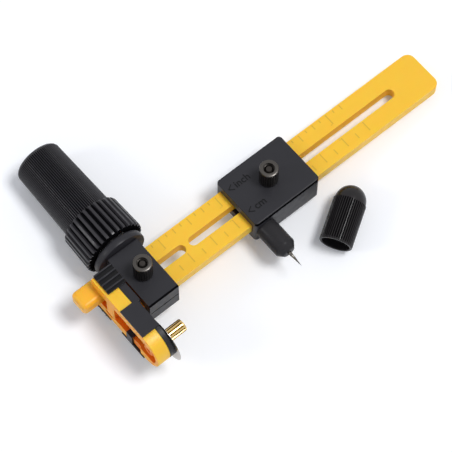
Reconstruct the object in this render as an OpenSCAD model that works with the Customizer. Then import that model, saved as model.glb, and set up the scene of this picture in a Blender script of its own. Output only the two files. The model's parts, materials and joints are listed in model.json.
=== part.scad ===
// Circle cutter: a slotted arm with a blade head at one end, a ratchet handle beside it and a sliding
// needle that sets the radius. The needle cap lies taken off beside the tool.
// +X runs along the arm away from the blade, -Y is the way the needle points, +Z leaves the printed face.
// The origin is on the needle's axis, where its barrel leaves the slider.

/* [Setting] */
// Radius that the slider is set to
set_radius = 53.7; // [24:0.1:108]
// Smallest radius that the slot allows
radius_min = 20; // [20:0.5:23]
// Largest radius that the slot allows
radius_max = 110; // [109:0.5:111]

/* [Arm] */
// Scale zero to the arm's far end
arm_reach = 141.65; // [136:0.05:150]
// Width of the arm
arm_w = 17.15; // [15:0.05:18]
// Thickness of the arm
arm_t = 4.5; // [3.5:0.1:5]
// Rounding of the far corners
arm_corner_r = 3; // [1:0.25:5]
// Width of both slots
slot_w = 3.8; // [3.7:0.05:4.4]
// Play of a stud at each end of its slot
slot_play = 0.2; // [0.1:0.05:0.5]
// Width of the tongue that holds the blade head
tongue_w = 3; // [2.4:0.1:3.2]
// Length of that tongue inside the blade head
tongue_l = 3.4; // [2:0.1:4]

/* [Slider] */
// Length along the arm
slider_l = 29; // [27:0.25:34]
// Slider's wall beside the arm
slider_wall = 2.255; // [2.2:0.005:4]
// Height from bottom to top
slider_h = 12.5; // [11.5:0.1:15]
// Thickness of the top cover
cover_t = 1.8; // [1.4:0.1:3]
// Rounding of the upright edges
slider_corner_r = 1.4; // [0.6:0.1:2]
// Reading edge to the stud
slider_stud_inset = 14.8; // [13:0.1:17]
// Reading edge to the needle's axis
needle_inset = 4.5; // [4.3:0.1:5.4]
// Needle's axis below the middle of the arm
needle_drop = 0.95; // [0.4:0.05:1.4]
// Both ends of the slider to its screws
screw_inset = 9; // [9:0.25:11]
// Shaft of the small screws in slider and block
screw_d = 1.4; // [1:0.1:1.6]
// Head of the small screws
screw_head_d = 2; // [1.8:0.1:2.2]
// Height of those heads
screw_head_h = 1.1; // [0.8:0.1:1.6]

/* [Needle] */
// Diameter of the barrel
barrel_d = 8.2; // [7.4:0.1:8.6]
// Length of the barrel's straight part
barrel_l = 10.45; // [9:0.05:12]
// Length of the tapered nose
nose_l = 2.1; // [1:0.1:3]
// Diameter at the end of the nose
nose_d = 4.4; // [3:0.1:5]
// Spigot that holds the barrel in the slider
spigot_d = 4; // [3:0.1:5]
// Length of the spigot
spigot_l = 1.8; // [1.2:0.1:1.9]
// Diameter of the needle
needle_d = 1.3; // [1:0.05:1.6]
// Slider's front to the needle's tip
needle_reach = 19.35; // [17:0.05:21]
// Length of the needle's point
point_l = 6.2; // [3:0.1:6.6]
// Needle's depth inside the barrel
needle_depth = 8; // [5:0.25:10]

/* [Needle cap] */
// Outer diameter
cap_d = 12; // [11.4:0.1:14]
// Length of the straight part
cap_l = 14.6; // [14.2:0.1:18]
// Height of the domed end
cap_dome = 7.9; // [6:0.1:9]
// Step from the ribs down to the dome
cap_step = 0.25; // [0.1:0.05:0.5]
// Diameter of the wide mouth
cap_mouth_d = 10.2; // [9.6:0.1:10.4]
// Depth of the wide mouth
cap_mouth_depth = 3; // [2:0.1:4]
// Length of the seat that grips the barrel
cap_seat_l = 9; // [8:0.1:10]
// Diameter of the room for nose and needle
cap_room_d = 5.2; // [4.8:0.1:6]
// Depth of that room past the seat
cap_room_l = 8; // [7:0.1:8.6]
// Number of grooves around the cap
cap_grooves = 44; // [24:2:48]
// Diameter of the tool that cuts one groove
cap_groove_d = 0.6; // [0.4:0.05:0.7]
// Where the mouth rests along the arm, from the needle's axis
cap_x = 16.4; // [14:0.1:30]
// Where the mouth rests in front of the slider
cap_y = 18.3; // [17.5:0.1:30]
// Turn of the cap on the table
cap_turn = 31; // [20:0.5:32]

/* [Studs and thumb nuts] */
// Diameter of both studs
stud_d = 3.4; // [3:0.05:3.5]
// Diameter of the stud heads
stud_head_d = 6.4; // [5.5:0.1:7]
// Height of the stud heads
stud_head_h = 2; // [1.5:0.1:2.6]
// Diameter of the thumb nuts
thumb_nut_d = 6.8; // [6.2:0.1:8]
// Height of the thumb nuts
thumb_nut_h = 8.55; // [7:0.05:10]
// Chamfer at both ends of a nut
nut_chamfer = 0.5; // [0.3:0.05:0.8]
// Grooves around a thumb nut
nut_grooves = 24; // [16:2:28]
// Diameter of the tool that cuts one nut groove
nut_groove_d = 0.5; // [0.35:0.05:0.55]
// Stud end below the top of its nut
stud_short = 0.5; // [0.3:0.1:1.5]
// Chamfer at the end of a stud
stud_chamfer = 0.7; // [0.2:0.05:0.9]

/* [Handle block] */
// Width along the arm
block_w = 12.62; // [11.6:0.02:13.4]
// Wall in front of the arm
block_front_wall = 2.705; // [2.5:0.005:4]
// Wall behind the arm
block_back_wall = 3.255; // [2.9:0.005:4]
// Height from bottom to top
block_h = 12.5; // [12:0.1:15]
// Rounding of the edges along the arm's width
block_edge_r = 0.7; // [0.4:0.1:1.6]
// Scale zero to the handle's axis
handle_x = 12.65; // [12.4:0.05:13.4]
// Way that the block can be moved along the arm
block_travel = 16.4; // [10:0.1:17]
// Length of the block's screws
block_screw_l = 9.4; // [7.5:0.1:11]
// Diameter of the mark on the front seam
mark_d = 1.2; // [0.8:0.1:1.6]
// Depth of that mark
mark_depth = 0.5; // [0.3:0.05:1]

/* [Handle] */
// Diameter of the flange disc
flange_d = 20.2; // [18:0.1:22]
// Thickness of the flange disc
flange_t = 2.92; // [2:0.02:4]
// Chamfer of the flange disc
flange_chamfer = 0.6; // [0.3:0.1:0.9]
// Gap between flange and collar
collar_gap = 0.73; // [0.4:0.01:1.2]
// Length of the collar
collar_l = 17.4; // [15:0.1:20]
// Diameter of the collar at its front
collar_d = 23.68; // [23:0.02:25]
// Diameter of the collar at its rear
collar_rear_d = 22.72; // [22:0.02:22.9]
// Chamfer at both ends of the collar
collar_chamfer = 0.9; // [0.5:0.05:1.2]
// Grooves around the collar
collar_grooves = 30; // [20:1:34]
// Diameter of the tool that cuts one collar groove
collar_groove_d = 1.1; // [0.8:0.05:1.4]
// Length of the grip behind the collar
grip_l = 27.4; // [25:0.1:34]
// Diameter of the grip at the collar
grip_d = 19.16; // [18.6:0.02:20]
// Diameter of the grip at its end
grip_end_d = 17.8; // [17:0.02:18.4]
// Rounding of the grip's end
grip_round = 1.7; // [1.2:0.1:2.6]
// Grooves around the grip
grip_grooves = 76; // [60:2:80]
// Diameter of the tool that cuts one grip groove
grip_groove_d = 0.5; // [0.4:0.02:0.56]
// Length of the smooth end of the grip
grip_plain_l = 0.4; // [0.2:0.1:1.6]
// Diameter of the collar's sleeve inside the grip
sleeve_d = 13.6; // [12.6:0.1:14]
// Length of that sleeve
sleeve_l = 20; // [18:0.25:22]

/* [Spindle and ratchet] */
// Diameter of the spindle
spindle_d = 8; // [7:0.1:8.4]
// Diameter of the tenon held by the block halves
tenon_d = 6; // [5:0.1:6.4]
// Length of that tenon
tenon_l = 2.6; // [2:0.1:2.7]
// Diameter of the washer that keeps the collar
washer_d = 10.4; // [9.6:0.1:11]
// Thickness of that washer
washer_t = 1; // [0.6:0.1:1.4]
// Screw in the spindle's end
end_screw_d = 3; // [2.4:0.1:3.5]
// Depth of that screw
end_screw_l = 9; // [6:0.25:12]
// Head of that screw
end_screw_head_d = 5.6; // [5:0.1:6.4]
// Height of that head
end_screw_head_h = 1.8; // [1.4:0.1:2]
// Number of ratchet teeth
ratchet_teeth = 18; // [12:1:24]
// Diameter over the ratchet teeth
ratchet_d = 13.4; // [12.6:0.1:13.8]
// Depth of the ratchet teeth
tooth_depth = 1; // [0.6:0.05:1.2]
// Share of a tooth's length that its slope takes
tooth_slope = 0.9; // [0.8:0.05:0.95]
// Width of ratchet wheel and pawl ring
ratchet_w = 3.4; // [2.5:0.1:4]
// Outer diameter of the pawl ring
pawl_ring_d = 18.2; // [17.6:0.1:18.6]
// Wall of the pawl ring
pawl_ring_wall = 1; // [0.8:0.05:1.2]
// Number of springy pawl fingers
pawls = 3; // [2:1:4]
// Angle that one finger spans
pawl_span = 38; // [30:1:42]
// Angle that the root of a finger spans
pawl_root = 14; // [10:1:18]

/* [Blade head] */
// Arm's centre line to the blade's axle
axle_drop = 21.2; // [20.6:0.05:23]
// Thickness of the yellow frame
frame_t = 5.3; // [4.8:0.05:6]
// Blade's middle to the frame
frame_gap = 2.2; // [2.1:0.05:2.6]
// Height of the frame
frame_h = 16.8; // [16:0.1:18]
// Frame's upper end past the arm's side
frame_over = 0.05; // [0:0.025:0.5]
// Arm's centre line to the middle of the round end
round_drop = 18.9; // [18.4:0.05:19.4]
// Web between frame and guard
web_t = 1.2; // [0.8:0.05:1.4]
// Rim of the round end
rim_t = 1.6; // [1.2:0.05:2]
// Rails above and below the long pocket
rail_t = 4.2; // [3.6:0.05:4.6]
// Arm's centre line to the long pocket
pocket_start = 3.4; // [3.2:0.05:3.8]
// Boss around the axle
axle_boss_d = 4.5; // [4.2:0.1:5]
// Boss's end below the open side
boss_sink = 0.6; // [0.3:0.05:1]
// Arm's centre line to the knob's pocket
seat_start = 0.7; // [0.5:0.05:1]
// Height of the knob's pocket
seat_h = 7.2; // [6.6:0.1:7.6]
// Length of the slot in the lower rail
nick_l = 3.6; // [2:0.1:4]
// Height of that slot
nick_h = 1.4; // [0.6:0.1:1.8]
// Depth of that slot
nick_depth = 3; // [1.2:0.1:3.4]
// Lower end of that slot below the arm's centre line
nick_drop = 2; // [1.5:0.1:2.5]
// Middle of the frame to that slot
nick_z = 4.9; // [4.7:0.1:6]

/* [Guard] */
// Thickness of the guard plate
guard_t = 1.8; // [1.5:0.05:1.85]
// Free way beside the guard plate
guard_gap = 0.1; // [0.08:0.01:0.15]
// Way that the guard slides over the blade
guard_travel = 4; // [3:0.1:4.2]
// Thickness of the tabs over the frame
tab_t = 0.8; // [0.6:0.05:1.2]
// Arm's centre line to the tabs' near end
tab_start = 7.2; // [6.5:0.1:8]
// Arm's centre line to the tabs' far end
tab_end = 19.3; // [17:0.1:19.6]
// Arm's centre line to the thumb pad
pad_start = 0.3; // [0:0.05:0.6]
// Width of a thumb pad
pad_w = 7.55; // [7:0.05:8]
// Pad's overhang past the blade's middle
pad_over = 1.05; // [0.9:0.05:1.4]
// Number of ribs on a thumb pad
pad_ribs = 4; // [3:1:4]
// Height of those ribs
pad_rib_h = 0.75; // [0.5:0.05:0.8]
// Width of those ribs
pad_rib_w = 0.6; // [0.5:0.05:0.8]
// Rounding of those ribs
pad_rib_r = 0.24; // [0.15:0.01:0.24]
// Way from one rib to the next
pad_rib_pitch = 2.25; // [1.6:0.05:2.3]
// Reach of the guard's lower edge past the frame's open side
low_out = 0.25; // [0.1:0.05:0.4]
// Lower pad's end past the upper pad's
low_pad_drop = 1.4; // [0.8:0.1:1.8]
// Guard's extra thickness beside the handle block
lip_t = 1.05; // [0.8:0.05:1.3]
// Arm's centre line to the end of that part
lip_l = 7.6; // [6:0.1:7.8]
// Arm's centre line to the guide bar in the window
bar_start = 10; // [9.8:0.05:10.4]
// Width of the guide bar
bar_w = 3; // [2.4:0.05:3.2]
// Bar's end below the open side
bar_sink = 2; // [1.6:0.05:2.4]
// Thickness of the clip around the lower rail
clip_t = 0.7; // [0.55:0.05:0.9]
// Clip's top above the lower rail
clip_h = 1.1; // [0.8:0.05:1.6]

/* [Blade and axle] */
// Diameter of the blade
blade_d = 18; // [17:0.1:18.4]
// Thickness of the blade
blade_t = 0.3; // [0.2:0.02:0.34]
// Width of the ground bevel
blade_bevel = 1.1; // [0.8:0.05:1.5]
// Thickness of the cutting edge
blade_edge = 0.06; // [0.04:0.01:0.1]
// Seat of the blade on the axle
blade_seat_d = 5; // [4.6:0.05:5.4]
// Shoulder that the blade runs against
shoulder_d = 6; // [5.6:0.05:6.4]
// Shank of the axle bolt in its boss
axle_shank_d = 2.6; // [2.2:0.05:2.8]
// Length of that shank
axle_shank_l = 3.4; // [2.5:0.05:3.8]
// Hole through the boss's end
axle_eye_d = 1.9; // [1.4:0.1:2.1]
// Thread of the axle bolt
axle_thread_d = 2.8; // [2.4:0.05:3]
// Blade washer's diameter
blade_washer_d = 6.4; // [6:0.05:7]
// Blade washer's thickness
blade_washer_t = 0.5; // [0.4:0.05:0.8]
// Diameter of the brass nut
brass_nut_d = 4.7; // [4.4:0.05:5.4]
// Blade's middle to the end of the brass nut
brass_nut_reach = 8.2; // [7:0.05:9]
// Grooves around the brass nut
brass_grooves = 12; // [10:1:16]
// Diameter of the tool that cuts one brass groove
brass_groove_d = 0.4; // [0.3:0.02:0.44]

/* [Knob] */
// Knob's length out of the head
knob_l = 9.9; // [8:0.1:11]
// Knob's size along the handle
knob_w = 7.8; // [7.6:0.1:8.8]
// Knob's thickness
knob_h = 6; // [5.8:0.1:6.4]
// Rounding of the knob's corners
knob_r = 1.6; // [0.8:0.1:2.2]
// Frame's upper end to the knob's stem
knob_inset = 2.6; // [2.4:0.05:2.8]
// Knob's middle past its stem
knob_shift = 1.2; // [0.8:0.05:1.3]
// Free way behind the knob
knob_room = 1.7; // [1.65:0.05:1.9]
// Way that the knob can be pressed
knob_travel = 1.5; // [1:0.05:1.6]
// Stem of the knob
stem_d = 3; // [2.6:0.05:3.1]
// Stem's length past the knob
stem_l = 1; // [0.6:0.05:1.2]
// Depth of the spring's seat in the knob
spring_sink = 3; // [2.6:0.1:4]
// Wire of the spring
spring_wire_d = 0.44; // [0.36:0.02:0.46]
// Mean diameter of the spring
spring_d = 4; // [3.9:0.05:4.2]
// Turns of the spring
spring_turns = 3.5; // [3:0.25:3.75]

/* [Clearances] */
// Free way between slider or block and arm
slide_gap = 0.12; // [0.08:0.01:0.16]
// Radial running fit of turning pieces
run_gap = 0.05; // [0.03:0.01:0.08]
// Free way at the faces of turning pieces
face_gap = 0.06; // [0.04:0.01:0.1]
// Radial room of fixed pins in their holes
seat_gap = 0.02; // [0.01:0.01:0.04]
// Radial room of the barrel in the cap
cap_gap = 0.06; // [0.05:0.01:0.1]
// Free way around moving legs, bars and stems
free_gap = 0.25; // [0.2:0.05:0.3]

/* [Hidden] */
$fn = 72;
spring_sides = 8;
spring_steps = 16;

// Arm frame: scale zero, centre line and middle of the arm seen from the origin
zero_x = -(set_radius + needle_inset);
channel_w = arm_w + 2 * slide_gap;
channel_t = arm_t + 2 * slide_gap;
slider_w = channel_w + 2 * slider_wall;
arm_y = slider_w / 2;
arm_z = needle_drop;
long_slot_start = radius_min + slider_stud_inset - stud_d / 2 - slot_play;
long_slot_end = radius_max + slider_stud_inset + stud_d / 2 + slot_play;
short_slot_start = handle_x - stud_d / 2 - slot_play;
short_slot_end = handle_x + block_travel + stud_d / 2 + slot_play;

// Slider and nuts, heights from the middle of the arm
slider_top = slider_h / 2;
cover_z = slider_top - cover_t;
slider_screw_y = slider_w / 2 - slider_wall / 2;
slider_screw_x = slider_l / 2 - screw_inset;
slider_mid_x = slider_l / 2 - needle_inset;

// Blade head, lengths from scale zero along X and from the arm's centre line along Y
blade_x = needle_inset;
frame_x = blade_x - frame_gap;
frame_back = frame_x - frame_t;
frame_half = frame_h / 2;
frame_top = arm_w / 2 + frame_over;
pocket_half = frame_half - rail_t;
web_x = frame_x - web_t;
guard_x = frame_x + guard_gap;
guard_end_x = guard_x + guard_t;
leg_z = arm_t / 2 + free_gap;
tab_z = frame_half + guard_gap;
pad_end_x = blade_x + pad_over;
pad_x = pad_end_x - pad_w;
tongue_y = (seat_start - pocket_start - tongue_w) / 2;
knob_y = frame_top - knob_inset;
knob_base = web_x - knob_room;
bar_x = frame_back + bar_sink;
bar_half = pocket_half - free_gap;
low_x = frame_back - low_out;
clip_seat = clip_t + guard_gap - low_out;
shoulder_end = blade_x - blade_t / 2 - face_gap;
blade_washer_x = blade_x + blade_t / 2 + face_gap;
brass_nut_x = blade_washer_x + blade_washer_t + face_gap;
axle_end = blade_x + brass_nut_reach - nut_chamfer;

// Handle block and handle, lengths from the arm's centre line
block_front = channel_w / 2 + block_front_wall;
block_back = channel_w / 2 + block_back_wall;
flange_y = block_back;
collar_y = flange_y + flange_t + collar_gap;
grip_y = collar_y + collar_l;
sleeve_end = grip_y + sleeve_l;
grip_end = grip_y + grip_l;
collar_slope = atan((collar_d - collar_rear_d) / 2 / collar_l);
grip_slope = atan((grip_d - grip_end_d) / 2 / grip_l);
cavity_l = 2 * ratchet_w;
ratchet_y = collar_y + ratchet_w / 2;
spindle_end = sleeve_end + face_gap;
grip_bore_l = sleeve_l + washer_t + end_screw_head_h + 2 * free_gap;

// Table that the tool rests on: the collar's rear edge, the grip's end and the arm's far corner touch it
rest_y = grip_y - collar_chamfer;
rest_r = collar_rear_d / 2;
grip_rest_y = grip_end - grip_round;
grip_rest_r = grip_end_d / 2;
table_rise_y = (rest_r - grip_rest_r) / (grip_rest_y - rest_y);
table_rise_x = (rest_r - arm_t / 2 - table_rise_y * (arm_w / 2 - rest_y)) / (arm_reach - handle_x);
table_norm = sqrt(1 + pow(table_rise_x, 2) + pow(table_rise_y, 2));
cap_foot_x = cap_x - zero_x;
cap_foot_y = -(cap_y + arm_y);
cap_foot_z = -rest_r + table_rise_x * (cap_foot_x - handle_x) + table_rise_y * (cap_foot_y - rest_y);

// Spring of the knob: middle points of its wire and the least free way between two turns
spring_x = knob_base - spring_sink;
spring_l = web_x - spring_x;
spring_pitch = (spring_l - spring_wire_d) / spring_turns;
spring_count = floor(spring_turns * spring_steps);
spring_gap = spring_pitch * cos(atan(spring_pitch / (PI * spring_d))) - spring_wire_d;
echo(spring_gap = spring_gap);

// Frames and shared shapes

module on_arm() translate([zero_x, arm_y, arm_z]) children();

module along_x(x) translate([x, 0, 0]) rotate([90, 0, 90]) children();

module along_y(x, y, z) translate([x, y, z]) rotate([-90, 0, 0]) children();

module on_handle(y) on_arm() along_y(handle_x, y, 0) children();

module round_rect(l, w, r) {
    square([l - 2 * r, w], center = true);
    square([l, w - 2 * r], center = true);
    for (sx = [-1, 1], sy = [-1, 1])
        translate([sx * (l / 2 - r), sy * (w / 2 - r)]) circle(r);
}

module slot_2d(start, end, w) {
    translate([start + w / 2, -w / 2]) square([end - start - w, w]);
    for (x = [start + w / 2, end - w / 2])
        translate([x, 0]) circle(d = w);
}

module head_outline(inset) {
    translate([-round_drop, -frame_half + inset])
        square([round_drop + frame_top - inset, frame_h - 2 * inset]);
    translate([-round_drop, 0]) circle(frame_half - inset);
}

module grooves(count, r, tool_d, from, to, slope) {
    for (i = [0 : count - 1])
        rotate(i * 360 / count)
            translate([r, 0, from])
                rotate([0, -slope, 0])
                    cylinder(d = tool_d, h = to - from);
}

module turned(points) rotate_extrude() polygon(points);

module stud(z_low, z_high) {
    r = stud_d / 2;
    head = stud_head_d / 2;
    neck = z_low + stud_head_h;
    turned([
        [0, z_low], [head, z_low], [head, neck], [r, neck], [r, z_high - stud_chamfer],
        [r - stud_chamfer, z_high], [0, z_high]
    ]);
}

module stud_hole(z_low, z_high) {
    translate([0, 0, z_low]) cylinder(d = stud_d + 2 * seat_gap, h = z_high - z_low);
    translate([0, 0, z_low]) cylinder(d = stud_head_d + 2 * seat_gap, h = stud_head_h + seat_gap);
}

module thumb_nut() {
    r = thumb_nut_d / 2;
    bore = stud_d / 2 + run_gap;
    difference() {
        turned([
            [bore, 0], [r - nut_chamfer, 0], [r, nut_chamfer], [r, thumb_nut_h - nut_chamfer],
            [r - nut_chamfer, thumb_nut_h], [bore, thumb_nut_h]
        ]);
        grooves(nut_grooves, r, nut_groove_d, nut_chamfer, thumb_nut_h, 0);
    }
}

module small_screw(l) {
    cylinder(d = screw_d, h = l);
    cylinder(d = screw_head_d, h = screw_head_h);
}

module small_screw_hole(l) {
    cylinder(d = screw_d + 2 * seat_gap, h = l + seat_gap);
    cylinder(d = screw_head_d + 2 * seat_gap, h = screw_head_h + seat_gap);
}

// Arm and blade head

module arm() {
    body_l = arm_reach - frame_x;
    color("gold") on_arm() {
        translate([0, 0, -arm_t / 2]) linear_extrude(arm_t) difference() {
            union() {
                translate([frame_x, -arm_w / 2]) square([body_l - arm_corner_r, arm_w]);
                translate([frame_x + body_l / 2, 0]) round_rect(body_l, arm_w, arm_corner_r);
            }
            slot_2d(long_slot_start, long_slot_end, slot_w);
            slot_2d(short_slot_start, short_slot_end, slot_w);
        }
        translate([frame_x - tongue_l, tongue_y, -arm_t / 2]) cube([tongue_l, tongue_w, arm_t]);
    }
}

module tongue_socket() {
    translate([frame_x - tongue_l - seat_gap, tongue_y - seat_gap, -arm_t / 2 - seat_gap])
        cube([tongue_l + 2 * seat_gap, tongue_w + 2 * seat_gap, arm_t + 2 * seat_gap]);
}

module head_pockets() {
    open_x = frame_back - web_t;
    along_x(open_x) linear_extrude(web_x - open_x) intersection() {
        head_outline(rim_t);
        translate([-2 * round_drop, -pocket_half]) square([2 * round_drop - pocket_start, 2 * pocket_half]);
    }
    along_x(open_x) linear_extrude(web_x - open_x)
        translate([seat_start, -seat_h / 2]) square([frame_top, seat_h]);
    along_x(open_x) linear_extrude(frame_back + nick_depth - open_x)
        translate([-nick_drop, -nick_z - nick_h]) square([nick_l, nick_h]);
    along_x(open_x) linear_extrude(frame_back + clip_seat - open_x)
        translate([-bar_start - bar_w - guard_travel - free_gap, -frame_h])
            square([bar_w + guard_travel + 2 * free_gap, frame_h - bar_half]);
}

module head_holes() {
    tongue_socket();
    along_x(web_x - frame_t) linear_extrude(2 * frame_t)
        translate([-bar_start - bar_w - guard_travel - free_gap, -pocket_half])
            square([bar_w + guard_travel + 2 * free_gap, 2 * pocket_half]);
    along_x(frame_back) translate([-axle_drop, 0]) linear_extrude(frame_t) circle(d = axle_eye_d);
    along_x(frame_x - axle_shank_l - seat_gap) translate([-axle_drop, 0])
        linear_extrude(axle_shank_l + 2 * seat_gap) circle(d = axle_shank_d + 2 * seat_gap);
    along_x(frame_back) translate([knob_y, 0]) linear_extrude(frame_t) circle(d = stem_d + 2 * free_gap);
}

module head_frame() {
    color("gold") on_arm() difference() {
        union() {
            difference() {
                along_x(frame_back) linear_extrude(frame_t) head_outline(0);
                head_pockets();
            }
            along_x(frame_back + boss_sink) translate([-axle_drop, 0])
                linear_extrude(frame_t - boss_sink) circle(d = axle_boss_d);
        }
        head_holes();
    }
}

module axle_bolt() {
    shoulder_x = frame_x + seat_gap;
    shank_x = frame_x - axle_shank_l;
    color("silver") on_arm() along_x(0) translate([-axle_drop, 0]) {
        translate([0, 0, shank_x]) cylinder(d = axle_shank_d, h = shoulder_x - shank_x);
        translate([0, 0, shoulder_x]) cylinder(d = shoulder_d, h = shoulder_end - shoulder_x);
        translate([0, 0, shoulder_end]) cylinder(d = blade_seat_d, h = blade_washer_x - shoulder_end);
        translate([0, 0, blade_washer_x]) cylinder(d = axle_thread_d, h = axle_end - blade_washer_x);
    }
}

module blade_washer() {
    color("silver") on_arm() along_x(blade_washer_x) translate([-axle_drop, 0])
        linear_extrude(blade_washer_t) difference() {
            circle(d = blade_washer_d);
            circle(d = axle_thread_d + 2 * seat_gap);
        }
}

module blade() {
    r = blade_d / 2;
    bore = blade_seat_d / 2 + run_gap;
    color("silver") on_arm() along_x(blade_x) translate([-axle_drop, 0, 0])
        turned([
            [bore, -blade_t / 2], [r - blade_bevel, -blade_t / 2], [r, -blade_edge / 2],
            [r, blade_edge / 2], [r - blade_bevel, blade_t / 2], [bore, blade_t / 2]
        ]);
}

module blade_nut() {
    r = brass_nut_d / 2;
    bore = axle_thread_d / 2 + run_gap;
    l = blade_x + brass_nut_reach - brass_nut_x;
    color("goldenrod") on_arm() along_x(brass_nut_x) translate([-axle_drop, 0, 0]) difference() {
        turned([
            [bore, 0], [r - nut_chamfer, 0], [r, nut_chamfer], [r, l - nut_chamfer],
            [r - nut_chamfer, l], [bore, l]
        ]);
        grooves(brass_grooves, r, brass_groove_d, nut_chamfer, l, 0);
    }
}

module guard_half(tab_x, edge_x, edge_y) {
    along_x(guard_x) linear_extrude(guard_t + lip_t)
        translate([-lip_l, leg_z]) square([lip_l + frame_top, frame_half - leg_z]);
    along_x(guard_x) linear_extrude(guard_t) {
        translate([-bar_start, leg_z]) square([bar_start + frame_top, frame_half - leg_z]);
        translate([-tab_end, frame_half - tab_t]) square([tab_end - tab_start, 2 * tab_t + guard_gap]);
    }
    along_x(tab_x) linear_extrude(guard_end_x - tab_x)
        translate([-tab_end, tab_z]) square([tab_end - tab_start, tab_t]);
    along_x(edge_x) linear_extrude(pad_end_x - edge_x)
        translate([edge_y, tab_z]) square([frame_top - edge_y, tab_t]);
    along_x(guard_x) linear_extrude(guard_t)
        translate([edge_y, frame_half - tab_t]) square([frame_top - edge_y, 2 * tab_t]);
    for (i = [0 : pad_ribs - 1])
        along_x(edge_x) linear_extrude(pad_end_x - edge_x)
            translate([frame_top - pad_rib_w / 2 - i * pad_rib_pitch, tab_z + tab_t])
                round_rect(pad_rib_w, 2 * pad_rib_h, pad_rib_r);
}

module guard_clip() {
    bar_y = -bar_start - bar_w;
    foot = tab_z + tab_t;
    along_x(bar_x) linear_extrude(guard_x + guard_t / 2 - bar_x)
        translate([bar_y, -bar_half]) square([bar_w, 2 * bar_half]);
    along_x(low_x) linear_extrude(guard_x + guard_t / 2 - low_x)
        translate([bar_y, -bar_half]) square([bar_w, clip_h]);
    along_x(low_x) linear_extrude(clip_t)
        translate([bar_y, -foot]) square([bar_w, foot - bar_half + clip_h]);
}

module guard() {
    color("#303236") on_arm() difference() {
        union() {
            along_x(guard_x) linear_extrude(guard_t) intersection() {
                head_outline(0);
                translate([-2 * round_drop, -frame_half])
                    square([2 * round_drop - arm_w / 2 - free_gap, frame_h]);
            }
            guard_half(frame_back, pad_x, pad_start);
            mirror([0, 0, 1]) guard_half(low_x, low_x, pad_start - low_pad_drop);
            guard_clip();
        }
        along_x(guard_x - free_gap) linear_extrude(guard_t + 2 * free_gap)
            slot_2d(
                -axle_drop - shoulder_d / 2 - free_gap,
                -axle_drop + guard_travel + shoulder_d / 2 + free_gap,
                shoulder_d + 2 * free_gap
            );
    }
}

module lock_button() {
    color("gold") on_arm() {
        difference() {
            along_x(knob_base - knob_l) linear_extrude(knob_l)
                translate([knob_y + knob_shift, 0]) round_rect(knob_w, knob_h, knob_r);
            along_x(spring_x) translate([knob_y, 0]) linear_extrude(spring_sink)
                circle(d = spring_d + spring_wire_d + 2 * free_gap);
        }
        along_x(spring_x - stem_l) translate([knob_y, 0])
            linear_extrude(spring_sink + 2 * stem_l) circle(d = stem_d);
    }
}

module button_spring() {
    function ring(i) = [
        for (k = [0 : spring_sides - 1])
            let (
                a = i * 360 / spring_steps,
                b = k * 360 / spring_sides,
                r = spring_d / 2 + spring_wire_d / 2 * cos(b)
            )
            [r * cos(a), r * sin(a), spring_pitch * i / spring_steps + spring_wire_d / 2 * sin(b)]
    ];
    points = [for (i = [0 : spring_count]) each ring(i)];
    last = spring_count * spring_sides;
    sides = [
        for (i = [0 : spring_count - 1], k = [0 : spring_sides - 1])
            let (k2 = (k + 1) % spring_sides, p = i * spring_sides, q = p + spring_sides)
            each [[p + k, p + k2, q + k2], [p + k, q + k2, q + k]]
    ];
    ends = [
        for (k = [1 : spring_sides - 2])
            each [[0, k + 1, k], [last, last + k, last + k + 1]]
    ];
    color("silver") on_arm() along_x(spring_x + spring_wire_d / 2) translate([knob_y, 0, 0])
        polyhedron(points, concat(sides, ends));
}

// Handle block

module block_half() {
    y_mid = (block_back - block_front) / 2;
    difference() {
        translate([handle_x - block_w / 2, 0, 0]) rotate([90, 0, 90]) linear_extrude(block_w)
            difference() {
                intersection() {
                    translate([y_mid, 0]) round_rect(block_back + block_front, block_h, block_edge_r);
                    translate([-block_front, 0]) square([block_back + block_front, block_h]);
                }
                square([channel_w, channel_t], center = true);
            }
        along_y(handle_x, block_back - tenon_l - seat_gap, 0)
            cylinder(d = tenon_d + 2 * seat_gap, h = tenon_l + 2 * seat_gap);
        along_y(handle_x, -block_front - mark_depth, 0) cylinder(d = mark_d, h = 2 * mark_depth);
    }
}

module block_screw_places() {
    wall = block_front - channel_w / 2;
    for (s = [-1, 1])
        translate([
            handle_x + s * (block_w / 2 - block_edge_r - screw_head_d / 2),
            -block_front + wall / 2,
            -block_h / 2
        ]) children();
}

module block_upper() {
    color("#303236") on_arm() difference() {
        block_half();
        block_screw_places() small_screw_hole(block_screw_l);
        translate([handle_x, 0, 0]) stud_hole(-block_h / 2, block_h);
    }
}

module block_lower() {
    color("#303236") on_arm() difference() {
        mirror([0, 0, 1]) block_half();
        block_screw_places() small_screw_hole(block_screw_l);
        translate([handle_x, 0, 0]) stud_hole(-block_h / 2, block_h);
    }
}

module block_screws() {
    color("silver") on_arm() block_screw_places() small_screw(block_screw_l);
}

module block_stud() {
    color("silver") on_arm() translate([handle_x, 0, 0])
        stud(-block_h / 2, block_h / 2 + face_gap + thumb_nut_h - stud_short);
}

module block_nut() {
    color("#303236") on_arm() translate([handle_x, 0, block_h / 2 + face_gap]) thumb_nut();
}

// Handle

module spindle() {
    r = flange_d / 2;
    core = spindle_d / 2;
    hole = end_screw_d / 2 + seat_gap;
    l = spindle_end - flange_y;
    color("#303236") on_handle(flange_y) {
        difference() {
            turned([
                [0, 0], [r - flange_chamfer, 0], [r, flange_chamfer], [r, flange_t - flange_chamfer],
                [r - flange_chamfer, flange_t], [core, flange_t], [core, l], [0, l]
            ]);
            translate([0, 0, l - end_screw_l - seat_gap])
                cylinder(r = hole, h = end_screw_l + 2 * seat_gap);
        }
        translate([0, 0, -tenon_l]) cylinder(d = tenon_d, h = tenon_l);
    }
}

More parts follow.
